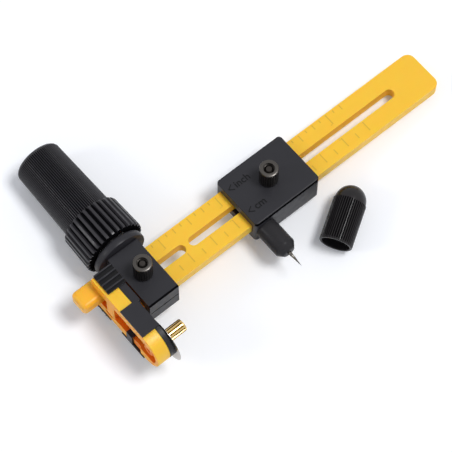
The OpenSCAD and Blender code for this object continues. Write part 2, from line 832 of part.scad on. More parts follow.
module ratchet_wheel() {
    tip = ratchet_d / 2;
    step = 360 / ratchet_teeth;
    color("silver") on_handle(ratchet_y) linear_extrude(ratchet_w) difference() {
        polygon([
            for (i = [0 : ratchet_teeth - 1])
                each [
                    tip * [cos(i * step), sin(i * step)],
                    (tip - tooth_depth) * [cos((i + tooth_slope) * step), sin((i + tooth_slope) * step)]
                ]
        ]);
        circle(d = spindle_d + 2 * seat_gap);
    }
}

module pawl_ring() {
    inner = pawl_ring_d / 2 - pawl_ring_wall;
    root = inner + pawl_ring_wall / 2;
    tip = ratchet_d / 2 + free_gap;
    color("silver") on_handle(ratchet_y) linear_extrude(ratchet_w) {
        difference() {
            circle(d = pawl_ring_d);
            circle(inner);
        }
        for (i = [0 : pawls - 1])
            rotate(i * 360 / pawls)
                polygon([
                    [root, 0],
                    root * [cos(pawl_root), sin(pawl_root)],
                    (tip + pawl_ring_wall / 2) * [cos(pawl_span), sin(pawl_span)],
                    tip * [cos(pawl_span), sin(pawl_span)]
                ]);
    }
}

module spindle_washer() {
    color("silver") on_handle(spindle_end) linear_extrude(washer_t) difference() {
        circle(d = washer_d);
        circle(d = end_screw_d + 2 * seat_gap);
    }
}

module spindle_screw() {
    color("silver") on_handle(spindle_end - end_screw_l) {
        cylinder(d = end_screw_d, h = end_screw_l + washer_t);
        translate([0, 0, end_screw_l + washer_t]) cylinder(d = end_screw_head_d, h = end_screw_head_h);
    }
}

module collar() {
    front = collar_d / 2;
    rear = collar_rear_d / 2;
    c = collar_chamfer;
    cavity = pawl_ring_d / 2 + seat_gap;
    bore = spindle_d / 2 + run_gap;
    sleeve = sleeve_d / 2;
    l = sleeve_end - collar_y;
    color("#303236") on_handle(collar_y) difference() {
        turned([
            [cavity, 0], [front - c, 0], [front, c], [rear, collar_l - c], [rear - c, collar_l],
            [sleeve, collar_l], [sleeve, l], [bore, l], [bore, cavity_l], [cavity, cavity_l]
        ]);
        grooves(collar_grooves, front, collar_groove_d, -c, collar_l + c, collar_slope);
    }
}

module grip() {
    r = grip_d / 2;
    end_line = grip_end_d / 2 + grip_round * tan(grip_slope);
    centre = end_line - grip_round / cos(grip_slope);
    bore = sleeve_d / 2 + seat_gap;
    color("#303236") on_handle(grip_y) difference() {
        rotate_extrude() {
            polygon([
                [0, 0], [r, 0],
                [centre + grip_round * cos(grip_slope), grip_l - grip_round + grip_round * sin(grip_slope)],
                [centre, grip_l - grip_round], [centre, grip_l], [0, grip_l]
            ]);
            intersection() {
                translate([centre, grip_l - grip_round]) circle(grip_round);
                translate([centre, grip_l - grip_round]) square(2 * grip_round);
            }
        }
        translate([0, 0, -seat_gap]) cylinder(r = bore, h = grip_bore_l + seat_gap);
        grooves(grip_grooves, r, grip_groove_d, 0, grip_l - grip_round - grip_plain_l, grip_slope);
    }
}

// Slider, needle and cap

module slider_frame() translate([slider_mid_x, arm_y, arm_z]) children();

module slider_screw_places() {
    for (sx = [-1, 1], sy = [-1, 1])
        translate([sx * slider_screw_x, sy * slider_screw_y, -slider_h / 2]) children();
}

module slider_cuts() {
    slider_screw_places() small_screw_hole(slider_h - cover_t / 2);
    translate([slider_stud_inset - slider_l / 2, 0, 0]) stud_hole(-slider_h / 2, slider_h);
}

module slider_body() {
    color("#303236") difference() {
        slider_frame() difference() {
            translate([0, 0, -slider_h / 2]) linear_extrude(cover_z + slider_h / 2)
                round_rect(slider_l, slider_w, slider_corner_r);
            translate([-slider_l, -channel_w / 2, -channel_t / 2])
                cube([2 * slider_l, channel_w, slider_h]);
            slider_cuts();
        }
        along_y(0, -seat_gap, 0) cylinder(d = spigot_d + 2 * seat_gap, h = spigot_l + 2 * seat_gap);
    }
}

module slider_cover() {
    color("#303236") slider_frame() difference() {
        union() {
            translate([0, 0, cover_z]) linear_extrude(cover_t)
                round_rect(slider_l, slider_w, slider_corner_r);
            translate([-slider_l / 2, -channel_w / 2 + seat_gap, channel_t / 2])
                cube([slider_l, channel_w - 2 * seat_gap, cover_z - channel_t / 2 + cover_t / 2]);
        }
        slider_cuts();
    }
}

module slider_screws() {
    color("silver") slider_frame() slider_screw_places() small_screw(slider_h - cover_t / 2);
}

module slider_stud() {
    color("silver") slider_frame() translate([slider_stud_inset - slider_l / 2, 0, 0])
        stud(-slider_h / 2, slider_top + face_gap + thumb_nut_h - stud_short);
}

module slider_nut() {
    color("#303236") slider_frame()
        translate([slider_stud_inset - slider_l / 2, 0, slider_top + face_gap]) thumb_nut();
}

module needle_holder() {
    r = barrel_d / 2;
    bore = needle_d / 2 + seat_gap;
    l = barrel_l + nose_l;
    color("#303236") rotate([90, 0, 0]) difference() {
        union() {
            turned([[0, 0], [r, 0], [r, barrel_l], [nose_d / 2, l], [0, l]]);
            translate([0, 0, -spigot_l]) cylinder(d = spigot_d, h = spigot_l);
        }
        translate([0, 0, l - needle_depth - seat_gap]) cylinder(r = bore, h = needle_depth + 2 * seat_gap);
    }
}

module needle() {
    r = needle_d / 2;
    base = barrel_l + nose_l - needle_depth;
    color("silver") rotate([90, 0, 0])
        turned([[0, base], [r, base], [r, needle_reach - point_l], [0, needle_reach]]);
}

module needle_cap() {
    r = cap_d / 2;
    mouth = cap_mouth_d / 2;
    seat = barrel_d / 2 + cap_gap;
    room = cap_room_d / 2;
    seat_end = cap_mouth_depth + cap_seat_l;
    room_end = seat_end + cap_room_l;
    dome = r - cap_step;
    color("#303236") on_arm() translate([cap_foot_x, cap_foot_y, cap_foot_z])
        rotate([asin(table_rise_y / table_norm), -atan(table_rise_x), 0])
            rotate([0, 0, cap_turn]) translate([0, 0, r]) rotate([0, 90, 0]) difference() {
                rotate_extrude() {
                    square([r, cap_l]);
                    translate([0, cap_l]) intersection() {
                        scale([1, cap_dome / dome]) circle(dome);
                        square(2 * r);
                    }
                }
                turned([
                    [0, 0], [mouth, 0], [mouth, cap_mouth_depth], [seat, cap_mouth_depth], [seat, seat_end],
                    [room, seat_end], [room, room_end], [0, room_end]
                ]);
                grooves(cap_grooves, r, cap_groove_d, cap_groove_d, cap_l, 0);
            }
}

arm();
head_frame();
axle_bolt();
blade_washer();
blade();
blade_nut();
guard();
lock_button();
button_spring();
block_upper();
block_lower();
block_screws();
block_stud();
block_nut();
spindle();
ratchet_wheel();
spindle_washer();
spindle_screw();
pawl_ring();
collar();
grip();
slider_body();
slider_cover();
slider_screws();
slider_stud();
slider_nut();
needle_holder();
needle();
needle_cap();
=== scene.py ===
"""Dresses the circle cutter: arm with scales, needle slider, ratchet handle, blade head and cap."""

import json
import logging
import math
from dataclasses import dataclass
from enum import Enum
from typing import Callable, Sequence

import bmesh
import bpy
from mathutils import Matrix, Vector


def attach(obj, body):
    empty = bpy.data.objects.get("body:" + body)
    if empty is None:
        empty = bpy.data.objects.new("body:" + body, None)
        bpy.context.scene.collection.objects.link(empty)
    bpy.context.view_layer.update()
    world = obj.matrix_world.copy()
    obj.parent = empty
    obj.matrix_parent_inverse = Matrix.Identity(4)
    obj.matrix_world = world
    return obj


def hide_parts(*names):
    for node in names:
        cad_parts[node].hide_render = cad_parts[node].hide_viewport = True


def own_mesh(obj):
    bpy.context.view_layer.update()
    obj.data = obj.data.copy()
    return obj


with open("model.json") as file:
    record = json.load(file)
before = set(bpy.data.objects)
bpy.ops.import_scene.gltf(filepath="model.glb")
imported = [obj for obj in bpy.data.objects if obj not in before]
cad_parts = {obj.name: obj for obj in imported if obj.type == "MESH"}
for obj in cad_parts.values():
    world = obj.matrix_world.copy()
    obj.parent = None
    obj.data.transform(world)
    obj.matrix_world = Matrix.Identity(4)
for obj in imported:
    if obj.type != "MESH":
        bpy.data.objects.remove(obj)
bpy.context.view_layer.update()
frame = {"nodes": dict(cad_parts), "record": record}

LOG = logging.getLogger("circle_cutter")
# Metres in a millimetre. All sizes below are in millimetres.
MM = 0.001
# Tolerance for picking points and faces by their place.
PICK = 0.05
# Least share of a normal along an axis that the face looks along.
FACING = 0.9
# Share of a chamfer at which it has its middle point.
EDGE_SHARE = 0.3
# Clearance under a thumb nut.
NUT_GAP = 0.06
# Angle beyond which the edges of a copied node stay sharp, in degrees.
COPY_ANGLE = 40.0
# Tolerance of the cuts through a copied node.
CUT_TOLERANCE = 1e-4
# A quarter turn.
QUARTER = math.pi / 2

Profile = Sequence[tuple[float, float]]
Triple = tuple[float, float, float]
Range = tuple[float, float]
Values = dict[str | int, object]
Mesh = bmesh.types.BMesh
PointRule = Callable[[Vector], bool]


class Body(Enum):
    """The moving bodies that pieces ride on."""

    ARM = "arm"
    BLOCK = "block"
    BLOCK_NUT = "block_nut"
    HANDLE = "handle"
    SLIDER = "slider"
    SLIDER_NUT = "slider_nut"
    GUARD = "guard"
    BLADE_NUT = "blade_nut"
    BUTTON = "lock_button"
    CAP = "cap"


class Slot(Enum):
    """The record's material slots."""

    YELLOW = "yellow_plastic"
    BLACK = "black_plastic"
    STEEL = "steel"
    BRASS = "brass"


class NodeKit:
    """Adds, sets and joins the nodes of one shader tree by their names."""

    def __init__(self, tree: bpy.types.NodeTree) -> None:
        """Takes the tree to work on."""
        self.tree = tree

    def set(self, name: str, values: Values) -> None:
        """Sets inputs of a named node."""
        for label, value in values.items():
            self.tree.nodes[name].inputs[label].default_value = value

    def add(self, kind: str, name: str, values: Values | None = None, **settings: object) -> None:
        """Adds a named node.

        Args:
            kind: Its type, without the common prefix.
            name: Its name in the tree.
            values: Values of its inputs.
            settings: Its own settings, made before the values.
        """
        node = self.tree.nodes.new("ShaderNode" + kind)
        node.name = name
        for label, value in settings.items():
            setattr(node, label, value)
        self.set(name, values or {})

    def join(self, *pairs: str) -> None:
        """Joins sockets.

        Args:
            pairs: Each pair as "node.Output > node.Input", with a name or a number for a socket.
        """
        nodes = self.tree.nodes
        for pair in pairs:
            (source, out), (target, into) = (end.rsplit(".", 1) for end in pair.split(" > "))
            socket = nodes[target].inputs[int(into) if into.isdigit() else into]
            self.tree.links.new(nodes[source].outputs[out], socket)


@dataclass(frozen=True)
class ShaderGroup:
    """A shader group that more than one finish uses: its sockets, nodes and joins."""

    name: str
    inputs: dict[str, float]
    outputs: Sequence[str]
    nodes: Sequence[tuple[str, str, Values, dict[str, object]]]
    joins: Sequence[str]

    def tree(self) -> bpy.types.NodeTree:
        """Finds the group, and builds it the first time.

        Returns:
            The group. Its nodes "in" and "out" carry the sockets, "coords" the place.
        """
        found = bpy.data.node_groups.get(self.name)
        if found:
            return found
        tree = bpy.data.node_groups.new(self.name, "ShaderNodeTree")
        plain = "NodeSocketFloat"
        for label, value in self.inputs.items():
            socket = tree.interface.new_socket(label, in_out="INPUT", socket_type=plain)
            socket.default_value = value
        for label in self.outputs:
            tree.interface.new_socket(label, in_out="OUTPUT", socket_type=plain)
        tree.nodes.new("NodeGroupInput").name = "in"
        tree.nodes.new("NodeGroupOutput").name = "out"
        kit = NodeKit(tree)
        kit.add("TexCoord", "coords")
        for kind, name, values, settings in self.nodes:
            kit.add(kind, name, values, **settings)
        kit.join(*self.joins)
        return tree


# Fine moulded grain: a height for bumps and a mask for roughness.
GRAIN = ShaderGroup(
    "moulded_grain",
    {"Scale": 2500.0},
    ("Height", "Mask"),
    (
        ("TexNoise", "fine", {"Detail": 3.0}, {}),
        ("TexNoise", "coarse", {"Scale": 420.0, "Detail": 4.0}, {}),
        ("MapRange", "mask", {"From Min": 0.35, "From Max": 0.65}, {}),
    ),
    (
        "coords.Object > fine.Vector", "coords.Object > coarse.Vector", "in.Scale > fine.Scale",
        "fine.Fac > out.Height", "coarse.Fac > mask.Value", "mask.Result > out.Mask",
    ),
)
# Slow drift between two tones, as in flowed plastic.
TONE = ShaderGroup(
    "tone_drift",
    {},
    ("Mask",),
    (
        ("TexNoise", "noise", {"Scale": 60.0, "Detail": 2.0}, {}),
        ("Math", "middle", {1: 0.5}, {"operation": "SUBTRACT"}),
        ("Math", "spread", {1: 1.6, 2: 0.5}, {"operation": "MULTIPLY_ADD", "use_clamp": True}),
    ),
    (
        "coords.Object > noise.Vector", "noise.Fac > middle.0", "middle.Value > spread.0",
        "spread.Value > out.Mask",
    ),
)
# Fine turning or brushing lines along one axis.
BRUSH = ShaderGroup(
    "fine_brushing",
    {},
    ("Height", "Mask"),
    (
        ("VectorMath", "stretch", {1: (5000.0, 60.0, 5000.0)}, {"operation": "MULTIPLY"}),
        ("TexNoise", "noise", {"Scale": 1.0, "Detail": 3.0}, {}),
    ),
    (
        "coords.Object > stretch.0", "stretch.Vector > noise.Vector", "noise.Fac > out.Height",
        "noise.Fac > out.Mask",
    ),
)


@dataclass(frozen=True)
class Finish:
    """A procedural surface: two close tones, a roughness range and a fine bump."""

    name: str
    slot: Slot
    tone: Triple
    second_tone: Triple
    rough: Range
    grain: ShaderGroup = GRAIN
    grain_scale: float = 2500.0
    bump: float = 0.05
    bump_mm: float = 0.02
    metallic: float = 0.0
    specular: float = 0.5
    scatter: float = 0.0
    scatter_mm: float = 1.2
    scatter_reach: Triple = (1.0, 0.28, 0.05)

    def material(self) -> bpy.types.Material:
        """Finds the finish's material, and builds it the first time.

        Returns:
            The material.
        """
        found = bpy.data.materials.get(self.name)
        if found:
            return found
        material = bpy.data.materials.new(self.name)
        material.use_nodes = True
        kit = NodeKit(material.node_tree)
        shader = {
            "Metallic": self.metallic,
            "Specular IOR Level": self.specular,
            "Subsurface Weight": self.scatter,
            "Subsurface Radius": self.scatter_reach,
            "Subsurface Scale": self.scatter_mm * MM,
        }
        kit.set("Principled BSDF", shader)
        kit.add("Group", "drift", node_tree=TONE.tree())
        tones = {"A": (*self.tone, 1.0), "B": (*self.second_tone, 1.0)}
        kit.add("Mix", "tones", tones, data_type="RGBA")
        grain = {"Scale": self.grain_scale} if self.grain is GRAIN else {}
        kit.add("Group", "grain", grain, node_tree=self.grain.tree())
        kit.add("MapRange", "rough", {"To Min": self.rough[0], "To Max": self.rough[1]})
        kit.add("Bump", "bump", {"Strength": self.bump, "Distance": self.bump_mm * MM})
        kit.join(
            "drift.Mask > tones.Factor", "tones.Result > Principled BSDF.Base Color",
            "grain.Mask > rough.Value", "rough.Result > Principled BSDF.Roughness",
            "grain.Height > bump.Height", "bump.Normal > Principled BSDF.Normal",
        )
        return material


def yellow(name: str, tone: Triple, second: Triple, rough: Range, specular: float) -> Finish:
    """Returns a yellow plastic that scatters some light."""
    return Finish(name, Slot.YELLOW, tone, second, rough, specular=specular, scatter=0.4)


def black(
    name: str, tone: Triple, second: Triple, rough: Range, shine: float, bump: float, scale: float
) -> Finish:
    """Returns a black plastic with a grain of its own."""
    grain = {"bump": bump, "grain_scale": scale}
    return Finish(name, Slot.BLACK, tone, second, rough, specular=shine, **grain)


def metal(
    name: str,
    tone: Triple,
    second: Triple,
    rough: Range,
    bump: float = 0.05,
    slot: Slot = Slot.STEEL,
) -> Finish:
    """Returns a metal with fine turning lines."""
    return Finish(name, slot, tone, second, rough, BRUSH, bump=bump, metallic=1.0)


YELLOW = yellow("yellow_moulding", (0.95, 0.545, 0.03), (0.965, 0.568, 0.037), (0.36, 0.46), 0.4)
# A deeper orange than the frame's yellow, used on the knob.
KNOB_ORANGE = yellow("deeper_orange_knob", (0.94, 0.47, 0.02), (0.955, 0.495, 0.025), (0.34, 0.44), 0.45)
# Painted shade: a deeper orange on the head frame's open side, which faces away from the key light.
SHADED_SIDE_ORANGE = yellow("painted_shade_open_side", (0.94, 0.38, 0.013), (0.955, 0.4, 0.016), (0.4, 0.5), 0.35)
# Painted light: a slightly brighter, warmer yellow on the arm's slot walls, for the light that the
# floor throws back into the slots.
SLOT_LIGHT_YELLOW = yellow(
    "painted_light_slot_walls", (0.98, 0.56, 0.04), (0.99, 0.585, 0.046), (0.42, 0.52), 0.3
)
# Painted shade: dark red inside the head frame's pockets and on the arm's root beside the blade
# head, where shade falls.
POCKET_SHADE_RED = yellow("painted_shade_pockets", (0.88, 0.2, 0.004), (0.9, 0.22, 0.006), (0.42, 0.52), 0.3)
LINE = Finish("moulded_line", Slot.YELLOW, (0.72, 0.4, 0.022), (0.78, 0.44, 0.026), (0.45, 0.55))
DIGIT = Finish("moulded_digit", Slot.YELLOW, (0.74, 0.41, 0.023), (0.8, 0.45, 0.027), (0.45, 0.55))
SATIN_BLACK = black(
    "satin_black", (0.0225, 0.0222, 0.0262), (0.025, 0.0246, 0.029), (0.34, 0.42), 0.2, 0.05, 3200.0
)
GRIP_BLACK = black(
    "grip_black", (0.019, 0.0178, 0.0218), (0.0212, 0.02, 0.024), (0.28, 0.36), 0.36, 0.06, 3600.0
)
GLOSS_BLACK = black(
    "gloss_black", (0.0145, 0.0127, 0.0138), (0.0165, 0.0147, 0.0158),
    (0.2, 0.27), 0.22, 0.04, 3600.0,
)
BARREL_BLACK = black(
    "barrel_black", (0.027, 0.0258, 0.0276), (0.0294, 0.0282, 0.0302),
    (0.24, 0.32), 0.08, 0.04, 3600.0,
)
# Dark print of the slider's unit marks, and painted shade on the floors between the thumb pad ribs.
MARK_AND_SHADE_BLACK = black(
    "mark_and_valley_shade_black", (0.004, 0.004, 0.005), (0.005, 0.005, 0.006), (0.5, 0.6), 0.16, 0.03, 2500.0
)
# Black without reflection: the block's seam line, and painted shade on the slider lid's front, the
# block's top front edge, the collar's front and the groove floors of the cap, collar and grip.
SEAM_AND_SHADE_BLACK = black(
    "seam_and_painted_shade_black", (0.003, 0.003, 0.0036), (0.004, 0.004, 0.0046), (0.6, 0.7), 0.0, 0.03, 2500.0
)
OXIDE_BLACK = metal("black_oxide", (0.072, 0.067, 0.063), (0.086, 0.08, 0.075), (0.26, 0.36))
# Dark steel of the studs, also painted shade on the groove floors of the thumb nuts.
STUD_AND_GROOVE_SHADE_BLACK = metal("dark_stud_and_groove_shade", (0.034, 0.03, 0.028), (0.05, 0.045, 0.042), (0.3, 0.42), 0.08)
STEEL = metal("plain_steel", (0.42, 0.405, 0.385), (0.5, 0.485, 0.465), (0.16, 0.28), 0.06)
NEEDLE_STEEL = metal("needle_steel", (0.11, 0.102, 0.09), (0.15, 0.14, 0.126), (0.14, 0.24), 0.06)
BRASS = metal(
    "turned_brass", (0.62, 0.43, 0.17), (0.72, 0.52, 0.24), (0.14, 0.24), slot=Slot.BRASS
)
# Painted shade and reflection: dark brown on the floors of the brass nut's grooves.
GROOVE_SHADE_BRASS = metal(
    "painted_shade_brass_grooves", (0.1, 0.055, 0.012), (0.16, 0.095, 0.025), (0.3, 0.42), slot=Slot.BRASS
)


class MeshKit:
    """Mesh steps shared by all pieces. Shapes are made in millimetres and placed in metres."""

    SHARP_ANGLE = 35.0
    FLAT_ANGLE = 0.5
    MERGE = 1e-5
    SLIVER = 1e-6
    NODE_MERGE = 2e-4

    @classmethod
    def soften(
        cls, bm: Mesh, radius: float, segments: int = 3, within: PointRule = lambda point: True
    ) -> None:
        """Rounds the sharp edges.

        Args:
            bm: The mesh to work on.
            radius: Width of the rounding.
            segments: Steps across the rounding.
            within: Tells whether a corner point belongs to the edges to round.
        """
        limit = math.radians(cls.SHARP_ANGLE)
        folds = [e for e in bm.edges if len(e.link_faces) == 2 and e.calc_face_angle(0.0) > limit]
        edges = [e for e in folds if all(within(v.co) for v in e.verts)]
        way = {"offset_type": "OFFSET", "affect": "EDGES", "clamp_overlap": True, "material": -1}
        bmesh.ops.bevel(bm, geom=edges, offset=radius, segments=segments, profile=0.5, **way)

    @classmethod
    def turned(cls, profile: Profile, steps: int, closed: bool = False) -> Mesh:
        """Spins a profile around Z.

        Args:
            profile: Radius and height of each point.
            steps: Steps of the full turn.
            closed: Whether the profile runs back to its first point.

        Returns:
            The turned mesh.
        """
        bm = bmesh.new()
        points = [bm.verts.new((r, 0.0, z)) for r, z in profile]
        pairs = list(zip(points, points[1:]))
        if closed:
            pairs.append((points[-1], points[0]))
        edges = [bm.edges.new(pair) for pair in pairs]
        turn = {"cent": (0.0, 0.0, 0.0), "axis": (0.0, 0.0, 1.0), "angle": math.tau}
        bmesh.ops.spin(bm, geom=points + edges, steps=steps, use_merge=True, **turn)
        bmesh.ops.remove_doubles(bm, verts=bm.verts[:], dist=cls.MERGE)
        bmesh.ops.dissolve_degenerate(bm, edges=bm.edges[:], dist=cls.SLIVER)
        bmesh.ops.recalc_face_normals(bm, faces=bm.faces[:])
        return bm

    @staticmethod
    def box(size: Triple, middle: Triple) -> Mesh:
        """Makes a box.

        Args:
            size: Its lengths along the axes.
            middle: Its middle point.

        Returns:
            The box's mesh.
        """
        bm = bmesh.new()
        place = Matrix.Translation(middle) @ Matrix.Diagonal((*size, 1.0))
        bmesh.ops.create_cube(bm, size=1.0, matrix=place)
        return bm

    @staticmethod
    def add(bm: Mesh, other: Mesh) -> None:
        """Joins a second mesh into the first.

        Args:
            bm: The mesh that grows.
            other: The mesh that is joined in and freed.
        """
        holder = bpy.data.meshes.new("joined")
        other.to_mesh(holder)
        other.free()
        bm.from_mesh(holder)
        bpy.data.meshes.remove(holder)

    @classmethod
    def node_copy(cls, node: str) -> Mesh:
        """Copies a CAD node's mesh in millimetres, with flat areas as single faces.

        Args:
            node: The node's name.

        Returns:
            The merged copy.
        """
        bm = bmesh.new()
        bm.from_mesh(frame["nodes"][node].data)
        bmesh.ops.scale(bm, vec=(1.0 / MM, 1.0 / MM, 1.0 / MM), verts=bm.verts[:])
        bmesh.ops.remove_doubles(bm, verts=bm.verts[:], dist=cls.NODE_MERGE)
        flat = math.radians(cls.FLAT_ANGLE)
        bmesh.ops.dissolve_limit(bm, angle_limit=flat, verts=bm.verts[:], edges=bm.edges[:])
        return bm


@dataclass(frozen=True)
class Flutes:
    """Grooves around a turned piece, between two heights."""

    count: int
    steps: int
    depth: float
    width: float
    low: float
    high: float
    fade: float
    floor: float = 0.6

    def turned(self, profile: Profile, r_min: float, closed: bool = False) -> Mesh:
        """Spins a profile around Z and sinks the grooves into its outer points.

        The faces at the bottom of the grooves get the second material index, which the pieces use
        for painted shade.

        Args:
            profile: Radius and height of each point.
            r_min: Points closer to the axis than this stay.
            closed: Whether the profile runs back to its first point.

        Returns:
            The grooved mesh.
        """
        bm = MeshKit.turned(profile, self.count * self.steps, closed)
        floor = set()
        for vert in bm.verts:
            r = math.hypot(vert.co.x, vert.co.y)
            if r < r_min:
                continue
            turn = math.atan2(vert.co.y, vert.co.x) / math.tau * self.count
            off = abs(turn - round(turn)) * 2.0 / self.width
            inside = min(vert.co.z - self.low, self.high - vert.co.z) / self.fade
            share = min(max(inside, 0.0), 1.0)
            if off < 1.0 and share > 0.0:
                sunk = self.depth * share * math.sqrt(1.0 - off * off)
                vert.co.x *= (r - sunk) / r
                vert.co.y *= (r - sunk) / r
                if sunk > self.depth * self.floor:
                    floor.add(vert)
        for face in bm.faces:
            if sum(vert in floor for vert in face.verts) > 2:
                face.material_index = 1
        return bm


@dataclass
class Piece:
    """A finished mesh that rides on a body."""

    name: str
    finish: Finish
    body: Body
    replaces: tuple[str, ...] = ()
    smooth_angle: float = 30.0
    flat_faces: bool = False

    def place(self, bm: Mesh, matrix: Matrix, *more: Finish) -> bpy.types.Object:
        """Turns a mesh in millimetres into a piece of the object.

        Args:
            bm: The mesh, which is freed.
            matrix: Place of the mesh in the part's frame, in millimetres.
            more: Surfaces of the faces that carry the material indices after the first.

        Returns:
            The new object.
        """
        bmesh.ops.transform(bm, matrix=Matrix.Scale(MM, 4) @ matrix, verts=bm.verts[:])
        mesh = bpy.data.meshes.new(self.name)
        bm.to_mesh(mesh)
        bm.free()
        mesh.shade_smooth()
        mesh.set_sharp_from_angle(angle=math.radians(self.smooth_angle))
        for finish in (self.finish, *more):
            mesh.materials.append(finish.material())
        piece = bpy.data.objects.new(self.name, mesh)
        bpy.context.scene.collection.objects.link(piece)
        if self.flat_faces:
            piece.modifiers.new("flat_faces", "WEIGHTED_NORMAL").keep_sharp = True
        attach(piece, self.body.value)
        if self.replaces:
            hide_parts(*self.replaces)
        LOG.info("%s: %d faces on %s", self.name, len(mesh.polygons), self.body.value)
        return piece


@dataclass(frozen=True)
class ToolFrame:
    """Places of the tool's own axes in the part's frame, in millimetres."""

    zero_x: float = -58.2
    arm_y: float = 10.95
    arm_z: float = 0.95
    handle_x: float = 12.65
    axle_y: float = -21.2

    def arm(self) -> Matrix:
        """Returns scale zero, on the arm's centre line and middle plane."""
        return Matrix.Translation((self.zero_x, self.arm_y, self.arm_z))

    def handle(self, y: float) -> Matrix:
        """Returns the handle's axis as Z, from a distance behind the centre line."""
        turn = Matrix.Rotation(-QUARTER, 4, "X")
        return self.arm() @ Matrix.Translation((self.handle_x, y, 0.0)) @ turn

    def axle(self, x: float) -> Matrix:
        """Returns the blade's axle as Z, from a place along the arm."""
        turn = Matrix.Rotation(QUARTER, 4, "Y")
        return self.arm() @ Matrix.Translation((x, self.axle_y, 0.0)) @ turn

    def needle(self) -> Matrix:
        """Returns the needle's axis as Z, pointing to its tip."""
        return Matrix.Rotation(QUARTER, 4, "X")


TOOL = ToolFrame()


@dataclass(frozen=True)
class Walls:
    """Faces with painted light or shade of their own, picked before the edges are rounded or late,
    after it.
    """

    finish: Finish
    within: Callable[[Vector, Vector], bool]
    late: bool = False

    def mark(self, bm: Mesh, index: int) -> None:
        """Gives a material index to the faces that the rule picks by middle and normal.

        Args:
            bm: The mesh, in the part's frame.
            index: The material index.
        """
        back = TOOL.arm().inverted()
        for face in bm.faces:
            if self.within(back @ face.calc_center_median(), face.normal):
                face.material_index = index


def soft_copy(
    name: str,
    node: str,
    finish: Finish,
    body: Body,
    radius: float,
    walls: Sequence[Walls] = (),
    cuts: Sequence[float] = (),
    rounded: PointRule = lambda point: True,
) -> None:
    """Stands a copy of a CAD node with rounded edges in its place.

    Args:
        name: Name of the piece.
        node: CAD node that it stands for.
        finish: Its surface.
        body: Body that it rides on.
        radius: Rounding of its edges.
        walls: Faces with painted light or shade, picked before the rounding or after it.
        cuts: Places along the arm at which the faces are cut.
        rounded: Tells whether a point in the arm's frame belongs to the edges to round.
    """
    bm = MeshKit.node_copy(node)
    back = TOOL.arm().inverted()
    for x in cuts:
        plane = {"plane_co": TOOL.arm() @ Vector((x, 0.0, 0.0)), "plane_no": (1.0, 0.0, 0.0)}
        whole = bm.verts[:] + bm.edges[:] + bm.faces[:]
        bmesh.ops.bisect_plane(bm, geom=whole, dist=CUT_TOLERANCE, **plane)
    for late in (False, True):
        if late:
            MeshKit.soften(bm, radius, within=lambda point: rounded(back @ point))
            bm.normal_update()
        for index, wall in enumerate(walls, 1):
            if wall.late is late:
                wall.mark(bm, index)
    piece = Piece(name, finish, body, (node,), COPY_ANGLE, True)
    piece.place(bm, Matrix(), *(wall.finish for wall in walls))


def dress_nodes(finish: Finish, *nodes: str) -> None:
    """Gives CAD nodes that stay in view a finish.

    Args:
        finish: Their surface.
        nodes: Their names.
    """
    for node in nodes:
        data = frame["nodes"][node].data
        data.materials.clear()
        data.materials.append(finish.material())


@dataclass
class Lettering:
    """Flat moulded strokes: text and lines on one surface."""

    height: float
    proud: float = 0.02
    round_off: float = 0.0
    round_steps: int = 1
    curve_steps: int = 3

    def text(self, words: str, size: float, matrix: Matrix) -> Mesh:
        """Makes a word as a thin mesh.

        Args:
            words: What it says.
            size: Height of the letters.
            matrix: Place of the word's middle on the surface.

        Returns:
            The word's mesh in millimetres.
        """
        curve = bpy.data.curves.new("word", "FONT")
        curve.body = words
        curve.size = size
        curve.align_x = curve.align_y = "CENTER"
        curve.extrude = self.proud
        curve.bevel_depth = self.round_off
        curve.bevel_resolution = self.round_steps
        curve.resolution_u = self.curve_steps
        holder = bpy.data.objects.new("word", curve)
        mesh = bpy.data.meshes.new_from_object(holder)
        bm = bmesh.new()
        bm.from_mesh(mesh)
        bmesh.ops.transform(bm, matrix=matrix, verts=bm.verts[:])
        bpy.data.objects.remove(holder)
        bpy.data.meshes.remove(mesh)
        bpy.data.curves.remove(curve)
        return bm

    def line(self, start: Range, end: Range, width: float) -> Mesh:
        """Makes a straight stroke between two points on the surface.

        Args:
            start: The first point.
            end: The second point.
            width: Width of the stroke.

        Returns:
            The stroke's mesh in millimetres.
        """
        a, b = Vector(start), Vector(end)
        way = b - a
        bm = MeshKit.box((way.length, width, 2 * self.proud), (0.0, 0.0, 0.0))
        middle = Matrix.Translation((*((a + b) / 2), self.height))
        turn = Matrix.Rotation(math.atan2(way.y, way.x), 4, "Z")
        bmesh.ops.transform(bm, matrix=middle @ turn, verts=bm.verts[:])
        return bm


